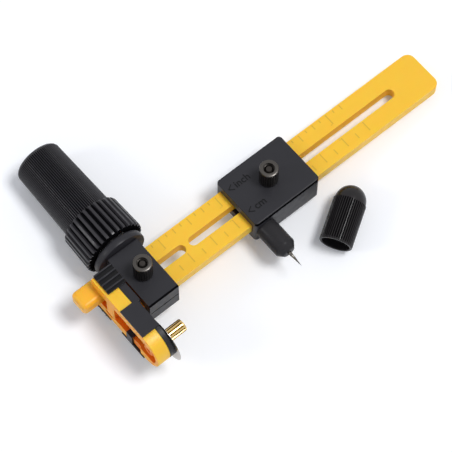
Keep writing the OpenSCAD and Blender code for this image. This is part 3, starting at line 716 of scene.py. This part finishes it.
@dataclass
class Arm:
    """The yellow slotted arm with centimetre and inch scales moulded into its face."""

    width: float = 17.15
    thickness: float = 4.5
    edge: float = 0.35
    line_w: float = 0.42
    margin: float = 0.6
    half_cm: float = 5.0
    cm_range: tuple[int, int] = (4, 23)
    cm_long: float = 4.1
    cm_short: float = 2.4
    cm_start: float = 1.4
    inch: float = 25.4
    inch_eighths: tuple[int, int] = (6, 35)
    inch_ranks: tuple[int, ...] = (8, 4, 2, 1)
    inch_lengths: tuple[float, ...] = (4.3, 2.9, 2.0, 1.2)
    slot_half: float = 2.5
    slot_tilt: float = 0.5
    root_x: float = 6.3
    digit: float = 1.35
    digit_shift: float = 0.75

    def build(self) -> None:
        """Makes the arm and its scales."""
        walls = (Walls(SLOT_LIGHT_YELLOW, self._in_slot), Walls(POCKET_SHADE_RED, self._is_root))
        soft_copy("arm_bar", "arm", YELLOW, Body.ARM, self.edge, walls, (self.root_x,))
        self._scales()

    def _in_slot(self, point: Vector, normal: Vector) -> bool:
        """Picks the walls of the slots, which get painted light."""
        inside = abs(point.y) < self.slot_half and abs(point.z) < self.thickness / 4
        return inside and abs(normal.z) < self.slot_tilt

    def _is_root(self, point: Vector, normal: Vector) -> bool:
        """Picks the root beside the blade head, which gets painted shade."""
        return point.x < self.root_x

    def _scales(self) -> None:
        """Makes the lines and digits of both scales as thin pieces."""
        pen = Lettering(self.thickness / 2)
        low = -self.width / 2 + self.margin + self.cm_start
        high = self.width / 2 - self.margin
        marks, digits = bmesh.new(), bmesh.new()
        for half in range(*self.cm_range):
            x = half * self.half_cm
            end = low + (self.cm_short if half % 2 else self.cm_long)
            MeshKit.add(marks, pen.line((x, low), (x, end), self.line_w))
            if half % 10 == 0:
                self._digits(digits, pen, str(half // 2), x, end)
        for eighth in range(*self.inch_eighths):
            x = eighth * self.inch / 8
            rank = next(i for i, step in enumerate(self.inch_ranks) if eighth % step == 0)
            end = high - self.inch_lengths[rank]
            MeshKit.add(marks, pen.line((x, high), (x, end), self.line_w))
            if rank == 0:
                self._digits(digits, pen, str(eighth // 8), x, end)
        Piece("arm_scale_marks", LINE, Body.ARM).place(marks, TOOL.arm())
        Piece("arm_scale_digits", DIGIT, Body.ARM).place(digits, TOOL.arm())

    def _digits(self, digits: Mesh, pen: Lettering, words: str, x: float, y: float) -> None:
        """Adds a number beside the end of its line."""
        place = Matrix.Translation((x - self.digit_shift, y, self.thickness / 2))
        MeshKit.add(digits, pen.text(words, self.digit, place @ Matrix.Rotation(-QUARTER, 4, "Z")))


@dataclass
class ThumbNut:
    """A knurled nut with a plain ring at its top, a sunk hole and painted shade on its groove
    floors.
    """

    radius: float = 3.4
    height: float = 8.55
    bore: float = 1.75
    chamfer: float = 0.45
    ring_step: float = 0.3
    sink: float = 1.3
    sink_r: float = 2.0
    sink_edge: float = 0.12
    flutes: Flutes = Flutes(
        count=24, steps=12, depth=0.26, width=0.5, low=0.2, high=7.65, fade=0.25
    )

    def build(self, name: str, node: str, body: Body, matrix: Matrix) -> None:
        """Makes one nut.

        Args:
            name: Name of the piece.
            node: CAD node that it stands for.
            body: Body that it rides on.
            matrix: Place of its lower face's middle.
        """
        r, h, c, ring = self.radius, self.height, self.chamfer, self.flutes.high
        bm = self.flutes.turned(
            [
                (self.bore, 0.0), (r - c, 0.0), (r, c), (r, 2 * c), (r, h / 2),
                (r, ring - self.ring_step), (r, ring), (r, h - c),
                (r - c * EDGE_SHARE, h - c * EDGE_SHARE), (r - c, h),
                (self.sink_r + self.sink_edge, h), (self.sink_r, h - self.sink_edge),
                (self.sink_r, h - self.sink), (self.bore, h - self.sink),
            ],
            r - PICK,
            closed=True,
        )
        Piece(name, OXIDE_BLACK, body, (node,)).place(bm, matrix, STUD_AND_GROOVE_SHADE_BLACK)


@dataclass
class Slider:
    """The black slider, its needle barrel and the needle."""

    inset: float = 4.5
    stud: float = 14.8
    top: float = 6.25
    half_w: float = 10.95
    outer: float = 0.3
    lid: float = 2.0
    lid_front: float = -0.4
    seam: float = 0.22
    edge: float = 0.45
    words: tuple[tuple[str, float, float], ...] = (("inch", 5.6, 7.4), ("cm", -5.2, 6.6))
    word_size: float = 3.9
    word_proud: float = 0.09
    word_round: float = 0.04
    arrow_tip: float = 1.5
    arrow_end: float = 3.4
    arrow_rise: float = 1.2
    arrow_w: float = 0.34
    peg_r: float = 2.0
    peg_l: float = 1.8
    barrel_r: float = 4.1
    barrel_l: float = 10.45
    barrel_edge: float = 0.15
    barrel_angle: float = 25.0
    barrel_steps: int = 72
    shoulder: float = 0.35
    shoulder_in: float = 0.12
    nose_l: float = 2.1
    nose_r: float = 2.2
    nose_out: float = 0.2
    nose_in: float = 0.1
    nose_mouth: float = 0.2
    needle_r: float = 0.65
    needle_gap: float = 0.02
    needle_from: float = 4.55
    needle_steps: int = 32
    point_from: float = 13.15
    needle_to: float = 19.35

    def build(self) -> None:
        """Makes the slider's pieces."""
        lines = (Walls(SEAM_AND_SHADE_BLACK, self._is_shade_line, late=True),)
        for name, node, radius, rounded in (
            ("slider_shell", "slider_body", self.seam, self._is_outer),
            ("slider_lid", "slider_cover", self.edge, self._is_top),
        ):
            soft_copy(name, node, SATIN_BLACK, Body.SLIDER, radius, lines, (), rounded)
        self._marks()
        self._needle()
        place = (self.stud - self.inset, TOOL.arm_y, TOOL.arm_z + self.top + NUT_GAP)
        nut = Matrix.Translation(place)
        ThumbNut().build("slider_thumb_nut", "slider_nut", Body.SLIDER_NUT, nut)
        dress_nodes(STUD_AND_GROOVE_SHADE_BLACK, "slider_stud")
        dress_nodes(STEEL, "slider_screws")

    def _is_outer(self, point: Vector) -> bool:
        """Picks the edges of the long outer walls."""
        return abs(point.y) > self.half_w - self.outer

    def _is_top(self, point: Vector) -> bool:
        """Picks the edges of the lid's face."""
        return point.z > self.top - PICK

    def _is_shade_line(self, point: Vector, normal: Vector) -> bool:
        """Picks the front of the lid, under its rounded edge, and the shell's edge at the seam,
        which get painted shade.
        """
        front = normal.y < self.lid_front
        return front and self.top - self.lid < point.z < self.top - self.edge / 2

    def _marks(self) -> None:
        """Makes the unit words and their arrows on the lid."""
        pen = Lettering(self.top, self.word_proud, self.word_round)
        left = -self.inset - TOOL.zero_x
        marks = bmesh.new()
        for word, y, shift in self.words:
            for side in (-1, 1):
                end = (left + self.arrow_end, y + side * self.arrow_rise)
                MeshKit.add(marks, pen.line((left + self.arrow_tip, y), end, self.arrow_w))
            place = Matrix.Translation((left + shift, y, self.top))
            MeshKit.add(marks, pen.text(word, self.word_size, place))
        Piece("slider_unit_marks", MARK_AND_SHADE_BLACK, Body.SLIDER).place(marks, TOOL.arm())

    def _needle(self) -> None:
        """Makes the barrel and the steel needle."""
        r, l = self.barrel_r, self.barrel_l
        end = l + self.nose_l
        bore = self.needle_r + self.needle_gap
        barrel = MeshKit.turned(
            [
                (0.0, -self.peg_l), (self.peg_r, -self.peg_l), (self.peg_r, 0.0),
                (r - self.barrel_edge, 0.0), (r, self.barrel_edge), (r, l - self.shoulder),
                (r - self.shoulder_in, l), (self.nose_r + self.nose_out, end - self.shoulder_in),
                (self.nose_r - self.nose_in, end), (bore + self.nose_mouth, end),
                (bore, end - self.nose_mouth), (bore, self.needle_from), (0.0, self.needle_from),
            ],
            self.barrel_steps,
        )
        holder = Piece("needle_barrel", BARREL_BLACK, Body.SLIDER, ("needle_holder",))
        holder.smooth_angle = self.barrel_angle
        holder.place(barrel, TOOL.needle())
        needle = MeshKit.turned(
            [
                (0.0, self.needle_from), (self.needle_r, self.needle_from),
                (self.needle_r, self.point_from), (0.0, self.needle_to),
            ],
            self.needle_steps,
        )
        pin = Piece("steel_needle", NEEDLE_STEEL, Body.SLIDER, ("needle",))
        pin.place(needle, TOOL.needle())


@dataclass
class NeedleCap:
    """The ribbed cap, lying loose with its mouth open."""

    radius: float = 6.0
    straight: float = 16.3
    wall_steps: int = 6
    dome: float = 6.2
    dome_steps: int = 16
    mouth: float = 5.1
    mouth_depth: float = 3.0
    mouth_edge: float = 0.2
    rim: float = 0.25
    rim_end: float = 0.9
    seat: float = 4.16
    seat_end: float = 12.0
    room: float = 2.6
    room_end: float = 20.0
    step: float = 0.25
    ribs: Flutes = Flutes(
        count=44, steps=12, depth=0.44, width=0.66, low=0.4, high=17.3, fade=0.5, floor=0.3
    )

    def build(self) -> None:
        """Makes the cap where the record's seat lies."""
        mount = next(m for m in frame["record"]["mounts"] if m["name"] == "cap_seat")
        out = Vector(mount["axis"]).normalized()
        middle = Vector(mount["pos_m"]) / MM
        origin = middle + out * (self.mouth_depth + self.seat_end) / 2
        turn = Vector((0.0, 0.0, 1.0)).rotation_difference(-out).to_matrix().to_4x4()
        r, crown, top = self.radius, self.radius - self.step, self.straight
        levels = [top * i / self.wall_steps for i in range(1, self.wall_steps + 1)]
        angles = [QUARTER * i / self.dome_steps for i in range(self.dome_steps)]
        bm = self.ribs.turned(
            [
                (0.0, self.room_end), (self.room, self.room_end), (self.room, self.seat_end),
                (self.seat, self.seat_end), (self.seat, self.mouth_depth),
                (self.mouth, self.mouth_depth), (self.mouth, self.mouth_edge),
                (self.mouth + self.mouth_edge, 0.0), (r - self.rim, 0.0), (r, self.rim),
                (r, self.rim_end), *((r, z) for z in levels),
                *((crown * math.cos(a), top + self.dome * math.sin(a)) for a in angles),
                (0.0, top + self.dome),
            ],
            r - PICK,
        )
        cap = Piece("ribbed_cap", GLOSS_BLACK, Body.CAP, ("needle_cap",))
        # The rib floors take painted shade.
        cap.place(bm, Matrix.Translation(origin) @ turn, SEAM_AND_SHADE_BLACK)


@dataclass
class HandleBlock:
    """The two-part block that carries the handle, with its stud and thumb nut."""

    top: float = 6.25
    edge: float = 0.3
    edge_tilt: float = 0.2
    stud_clear: float = 3.5
    seam_h: float = 0.46
    seam_t: float = 0.06
    seam_proud: float = 0.015
    seam_end: float = 0.25
    seam_gap: float = 0.4

    def build(self) -> None:
        """Makes the block's pieces."""
        lines = (Walls(SEAM_AND_SHADE_BLACK, self._is_shade_line, late=True),)
        for node, name in (("block_upper", "block_top_half"), ("block_lower", "block_bottom_half")):
            soft_copy(name, node, SATIN_BLACK, Body.BLOCK, self.edge, lines, (), self._is_rounded)
        self._seam()
        nut = TOOL.arm() @ Matrix.Translation((TOOL.handle_x, 0.0, self.top + NUT_GAP))
        ThumbNut().build("block_thumb_nut", "block_nut", Body.BLOCK_NUT, nut)
        dress_nodes(STUD_AND_GROOVE_SHADE_BLACK, "block_stud")
        dress_nodes(STEEL, "block_screws")

    def _is_shade_line(self, point: Vector, normal: Vector) -> bool:
        """Picks the rounded edge between the top and the front, which gets a painted dark line of
        shade.
        """
        return normal.y < -self.edge_tilt and normal.z > self.edge_tilt

    def _is_rounded(self, point: Vector) -> bool:
        """Picks the outer edges of the top, clear of the stud."""
        clear = math.hypot(point.x - TOOL.handle_x, point.y) > self.stud_clear
        return point.z > self.top - PICK and clear

    def _seam(self) -> None:
        """Makes the dark line where the halves meet on the front, with a gap at the dot."""
        half = MeshKit.node_copy("block_upper")
        front = min(vert.co.y for vert in half.verts)
        ends = [vert.co.x for vert in half.verts if vert.co.y < front + self.seam_t]
        half.free()
        dot = TOOL.zero_x + TOOL.handle_x
        y = front + self.seam_t / 2 - self.seam_proud
        line = bmesh.new()
        for end, gap in (
            (min(ends) + self.seam_end, -self.seam_gap),
            (max(ends) - self.seam_end, self.seam_gap),
        ):
            size = (abs(end - dot - gap), self.seam_t, self.seam_h)
            MeshKit.add(line, MeshKit.box(size, ((end + dot + gap) / 2, y, TOOL.arm_z)))
        Piece("block_seam_line", SEAM_AND_SHADE_BLACK, Body.BLOCK).place(line, Matrix())


@dataclass
class RatchetHandle:
    """Flange, fluted collar and finely ribbed grip around the spindle."""

    flange_y: float = 11.95
    flange_r: float = 10.1
    flange_t: float = 2.92
    flange_edge: float = 0.6
    flange_steps: int = 96
    tenon_r: float = 3.0
    tenon_l: float = 2.6
    spindle_r: float = 4.0
    spindle_l: float = 41.11
    spindle_gap: float = 0.05
    collar_y: float = 15.6
    collar_l: float = 14.5
    collar_shares: Triple = (0.75, 0.5, 0.25)
    front_r: float = 11.84
    rear_r: float = 11.36
    chamfer: float = 0.9
    chamfer_in: float = 0.35
    cavity_r: float = 9.12
    cavity_l: float = 6.8
    sleeve_r: float = 6.8
    sleeve_l: float = 22.9
    sleeve_gap: float = 0.02
    grip_y: float = 30.1
    grip_l: float = 30.3
    grip_r: float = 9.65
    grip_end_r: float = 8.9
    grip_round: float = 1.7
    round_steps: int = 8
    grip_levels: tuple[float, ...] = (0.0, 0.3, 6.0, 12.0, 18.0)
    grip_last: Triple = (2.0, 1.0, 0.0)
    grip_bore_l: float = 26.2
    flutes: Flutes = Flutes(
        count=30, steps=20, depth=0.95, width=0.58, low=-1.0, high=15.5, fade=0.4
    )
    ribs: Flutes = Flutes(
        count=76, steps=10, depth=0.42, width=0.62, low=-1.0, high=29.4, fade=0.6, floor=0.3
    )

    def build(self) -> None:
        """Makes the handle's pieces."""
        self._flange()
        self._collar()
        self._grip()
        dress_nodes(STEEL, "ratchet_wheel", "pawl_ring", "spindle_washer", "spindle_screw")

    def _flange(self) -> None:
        """Makes the flange disc with its tenon and shaft."""
        r, t, c = self.flange_r, self.flange_t, self.flange_edge
        bm = MeshKit.turned(
            [
                (0.0, -self.tenon_l), (self.tenon_r, -self.tenon_l), (self.tenon_r, 0.0),
                (r - c, 0.0), (r - c * EDGE_SHARE, c * EDGE_SHARE), (r, c), (r, t - c),
                (r - c * EDGE_SHARE, t - c * EDGE_SHARE), (r - c, t), (self.spindle_r, t),
                (self.spindle_r, self.spindle_l), (0.0, self.spindle_l),
            ],
            self.flange_steps,
        )
        flange = Piece("handle_flange", SATIN_BLACK, Body.BLOCK, ("spindle",))
        flange.place(bm, TOOL.handle(self.flange_y))

    def _collar(self) -> None:
        """Makes the coarse-fluted collar with its sleeve, with painted shade on its front and on
        its groove floors.
        """
        c, l = self.chamfer, self.collar_l
        end = l + self.sleeve_l
        bore = self.spindle_r + self.spindle_gap
        slope = (self.rear_r - self.front_r) / l
        levels = (l - c, *(l * share for share in self.collar_shares), c)
        bm = self.flutes.turned(
            [
                (self.cavity_r, 0.0), (self.cavity_r, self.cavity_l), (bore, self.cavity_l),
                (bore, end), (self.sleeve_r, end), (self.sleeve_r, l), (self.rear_r - c, l),
                (self.rear_r - c * self.chamfer_in, l - c * EDGE_SHARE),
                *((self.front_r + slope * z, z) for z in levels),
                (self.front_r - c * self.chamfer_in, c * EDGE_SHARE), (self.front_r - c, 0.0),
            ],
            self.rear_r - c - PICK,
            closed=True,
        )
        # Painted shade: the collar's front faces take the black without reflection.
        for face in bm.faces:
            if face.calc_center_median().z < c * EDGE_SHARE:
                face.material_index = 1
        collar = Piece("fluted_collar", GRIP_BLACK, Body.HANDLE, ("collar",))
        collar.place(bm, TOOL.handle(self.collar_y), SEAM_AND_SHADE_BLACK)

    def _grip(self) -> None:
        """Makes the finely ribbed grip with its rounded end, with painted shade on its groove
        floors.
        """
        l, q = self.grip_l, self.grip_round
        slope = (self.grip_end_r - self.grip_r) / l
        levels = (*self.grip_levels, *(l - q - back for back in self.grip_last))
        edge = self.grip_r + slope * (l - q)
        angles = [QUARTER * i / self.round_steps for i in range(1, self.round_steps + 1)]
        bore = self.sleeve_r + self.sleeve_gap
        bm = self.ribs.turned(
            [
                (0.0, self.grip_bore_l), (bore, self.grip_bore_l), (bore, 0.0),
                *((self.grip_r + slope * z, z) for z in levels),
                *((edge - q + q * math.cos(a), l - q + q * math.sin(a)) for a in angles), (0.0, l),
            ],
            self.grip_end_r - q,
        )
        grip = Piece("ribbed_grip", GRIP_BLACK, Body.HANDLE, ("grip",))
        grip.place(bm, TOOL.handle(self.grip_y), SEAM_AND_SHADE_BLACK)


@dataclass
class BladeHead:
    """The open yellow frame with axle, blade, brass nut, guard and knob."""

    open_x: float = -3.0
    back_x: float = 2.3
    top_y: float = 8.625
    frame_edge: float = 0.16
    guard_edge: float = 0.14
    round_y: float = -18.9
    rim_r: float = 7.5
    wall: float = 6.6
    pad_z: float = 9.3
    pad_y: float = 0.2
    nut_r: float = 2.35
    nut_from: float = 5.27
    nut_to: float = 12.7
    nut_bore: float = 1.45
    nut_edge: float = 0.4
    nut_land: float = 0.2
    flutes: Flutes = Flutes(
        count=12, steps=12, depth=0.34, width=0.56, low=0.2, high=6.93, fade=0.3, floor=0.2
    )
    knob_from: float = -10.5
    knob_round: float = 2.4
    knob_steps: int = 6
    coil_angle: float = 60.0

    def build(self) -> None:
        """Makes the head's pieces."""
        painted_shade_sides = (Walls(POCKET_SHADE_RED, self._in_pocket), Walls(SHADED_SIDE_ORANGE, self._is_open))
        soft_copy("open_head_frame", "head_frame", YELLOW, Body.ARM, self.frame_edge, painted_shade_sides)
        shaded_valleys = (Walls(MARK_AND_SHADE_BLACK, self._in_valley),)
        soft_copy("sliding_guard", "guard", SATIN_BLACK, Body.GUARD, self.guard_edge, shaded_valleys)
        self._nut()
        self._knob()
        self._coil()
        dress_nodes(STEEL, "axle_bolt", "blade_washer", "blade")

    def _in_valley(self, point: Vector, normal: Vector) -> bool:
        """Picks the floors between the ribs of the thumb pads, which get painted shade."""
        low = abs(abs(point.z) - self.pad_z) < PICK
        return low and point.y > self.pad_y and abs(normal.z) > FACING

    def _is_open(self, point: Vector, normal: Vector) -> bool:
        """Picks the frame's faces on its open side, which get painted shade."""
        return normal.x < -FACING and point.x < self.open_x + PICK

    def _in_pocket(self, point: Vector, normal: Vector) -> bool:
        """Picks the faces inside the frame's walls, away from its open side, which get painted
        shade.

        Args:
            point: The face's middle in the arm's frame.
            normal: The face's normal.

        Returns:
            Whether the face lies inside.
        """
        deep = self.open_x + PICK < point.x < self.back_x - PICK
        if point.y < self.round_y:
            return deep and math.hypot(point.y - self.round_y, point.z) < self.rim_r
        return deep and abs(point.z) < self.wall and point.y < self.top_y - PICK

    def _nut(self) -> None:
        """Makes the straight-knurled brass nut with painted shade and reflection in its grooves."""
        r, l, c = self.nut_r, self.nut_to - self.nut_from, self.nut_edge
        bm = self.flutes.turned(
            [
                (self.nut_bore, 0.0), (r - c, 0.0), (r, c), (r, c + self.nut_land),
                (r, l - c - self.nut_land), (r, l - c), (r - c * EDGE_SHARE, l - c * EDGE_SHARE),
                (r - c, l), (self.nut_bore, l),
            ],
            r - PICK,
            closed=True,
        )
        nut = Piece("brass_blade_nut", BRASS, Body.BLADE_NUT, ("blade_nut",))
        nut.place(bm, TOOL.axle(self.nut_from), GROOVE_SHADE_BRASS)

    def _knob(self) -> None:
        """Makes the yellow knob with a rounded outer end."""
        bm = MeshKit.node_copy("lock_button")
        outer = TOOL.zero_x + self.knob_from + PICK
        MeshKit.soften(bm, self.knob_round, self.knob_steps, lambda point: point.x < outer)
        knob = Piece("lock_knob", KNOB_ORANGE, Body.BUTTON, ("lock_button",), COPY_ANGLE, True)
        knob.place(bm, Matrix())

    def _coil(self) -> None:
        """Makes the coil behind the knob, as a piece with a mesh of its own."""
        coil = Piece("button_coil", STEEL, Body.ARM, ("button_spring",), self.coil_angle)
        piece = coil.place(MeshKit.node_copy("button_spring"), Matrix())
        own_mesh(piece)


@dataclass
class Studio:
    """Table, light and camera. The table touches collar, grip end and the arm's far corner."""

    rise_x: float = 0.08749
    rise_y: float = 0.09248
    table_z: float = -15.435
    table_r: float = 420.0
    table_x: float = 60.0
    table_steps: int = 96
    table_colour: Triple = (0.955, 0.965, 0.985)
    table_rough: float = 0.9
    camera_at: Triple = (-214.56, -236.79, 674.32)
    right: Triple = (0.7695, -0.6387, 0.0)
    ahead: Triple = (0.27361, 0.32963, -0.90359)
    sensor: float = 36.0
    lens: float = 171.04
    clip_m: Range = (0.01, 10.0)
    fill: float = 0.43
    key: float = 1.77
    key_size: float = 18.0
    key_from: Triple = (0.24, -0.32, 0.917)
    side: float = 0.38
    side_size: float = 14.0
    side_from: Triple = (-0.78, 0.33, 0.53)
    shade: Triple = (0.945, 0.978, 1.06)
    white: float = 0.09

    def build(self) -> None:
        """Sets up the table, the light and the camera."""
        self._table()
        self._light()
        self._camera()
        bpy.context.scene.view_settings.view_transform = "Standard"

    def normal(self) -> Vector:
        """Returns the table's upward direction."""
        return Vector((-self.rise_x, -self.rise_y, 1.0)).normalized()

    def _table(self) -> None:
        """Makes the pale table, seen from above only."""
        bm = bmesh.new()
        bmesh.ops.create_circle(bm, cap_ends=True, segments=self.table_steps, radius=self.table_r)
        turn = Vector((0.0, 0.0, 1.0)).rotation_difference(self.normal()).to_matrix().to_4x4()
        foot = TOOL.arm() @ Matrix.Translation((0.0, 0.0, self.table_z))
        place = foot @ turn @ Matrix.Translation((self.table_x, 0.0, 0.0))
        bmesh.ops.transform(bm, matrix=Matrix.Scale(MM, 4) @ place, verts=bm.verts[:])
        mesh = bpy.data.meshes.new("table")
        bm.to_mesh(mesh)
        bm.free()
        mesh.materials.append(self._table_material())
        table = bpy.data.objects.new("table", mesh)
        bpy.context.scene.collection.objects.link(table)

    @staticmethod
    def _seen_rays(kit: NodeKit) -> None:
        """Adds the node "seen": 1 for the camera, mirror and glass rays that show the background.

        Args:
            kit: The nodes of a material or a world.
        """
        kit.add("LightPath", "path")
        kit.add("Math", "mirrored", operation="MAXIMUM")
        kit.add("Math", "seen", operation="MAXIMUM")
        kit.join(
            "path.Is Camera Ray > mirrored.0", "path.Is Glossy Ray > mirrored.1",
            "mirrored.Value > seen.0", "path.Is Transmission Ray > seen.1",
        )

    def _table_material(self) -> bpy.types.Material:
        """Builds the table's white, which is clear from below.

        Returns:
            The material.
        """
        material = bpy.data.materials.new("pale_table")
        material.use_nodes = True
        kit = NodeKit(material.node_tree)
        white = {
            "Base Color": (*self.table_colour, 1.0),
            "Roughness": self.table_rough,
            "Specular IOR Level": 0.0,
            "Emission Color": (1.0, 1.0, 1.0, 1.0),
        }
        kit.set("Principled BSDF", white)
        self._seen_rays(kit)
        kit.add("MapRange", "glow", {"To Max": self.white})
        kit.add("NewGeometry", "side")
        kit.add("BsdfTransparent", "clear")
        kit.add("MixShader", "mix")
        kit.join(
            "seen.Value > glow.Value", "glow.Result > Principled BSDF.Emission Strength",
            "side.Backfacing > mix.Fac", "Principled BSDF.BSDF > mix.1", "clear.BSDF > mix.2",
            "mix.Shader > Material Output.Surface",
        )
        return material

    def _light(self) -> None:
        """Sets an even white room, a key light and a weak side light."""
        world = bpy.data.worlds.new("white_room")
        bpy.context.scene.world = world
        world.use_nodes = True
        kit = NodeKit(world.node_tree)
        self._seen_rays(kit)
        tones = {"A": (*self.shade, 1.0), "B": (1.0, 1.0, 1.0, 1.0)}
        kit.add("Mix", "colour", tones, data_type="RGBA")
        kit.add("MapRange", "strength", {"To Min": self.fill, "To Max": 1.0})
        kit.join(
            "seen.Value > colour.Factor", "seen.Value > strength.Value",
            "colour.Result > Background.Color", "strength.Result > Background.Strength",
        )
        self._lamp("key", self.key, self.key_size, self.key_from)
        self._lamp("side", self.side, self.side_size, self.side_from)

    @staticmethod
    def _lamp(name: str, energy: float, size: float, start: Triple) -> None:
        """Adds one broad, far lamp.

        Args:
            name: Its name.
            energy: Its strength.
            size: Angle that it fills, in degrees.
            start: Direction that it shines from.
        """
        data = bpy.data.lights.new(name, "SUN")
        data.energy = energy
        data.angle = math.radians(size)
        lamp = bpy.data.objects.new(name, data)
        lamp.rotation_euler = Vector(start).to_track_quat("Z", "Y").to_euler()
        bpy.context.scene.collection.objects.link(lamp)

    def _camera(self) -> None:
        """Sets the camera at the photograph's place."""
        data = bpy.data.cameras.new("camera")
        data.sensor_width = self.sensor
        data.lens = self.lens
        data.clip_start, data.clip_end = self.clip_m
        camera = bpy.data.objects.new("camera", data)
        ahead = Vector(self.ahead).normalized()
        right = Vector(self.right).normalized()
        up = right.cross(ahead)
        turn = Matrix((right, up, -ahead)).transposed().to_4x4()
        camera.matrix_world = Matrix.Translation(Vector(self.camera_at) * MM) @ turn
        bpy.context.scene.collection.objects.link(camera)
        bpy.context.scene.camera = camera


def main() -> None:
    """Builds the studio, and the tool in the order in which it is put together."""
    logging.basicConfig(level=logging.INFO, format="%(name)s: %(message)s")
    for kind in (Studio, Arm, BladeHead, HandleBlock, RatchetHandle, Slider, NeedleCap):
        LOG.info("building %s", kind.__name__)
        kind().build()


if __name__ == "__main__":
    main()
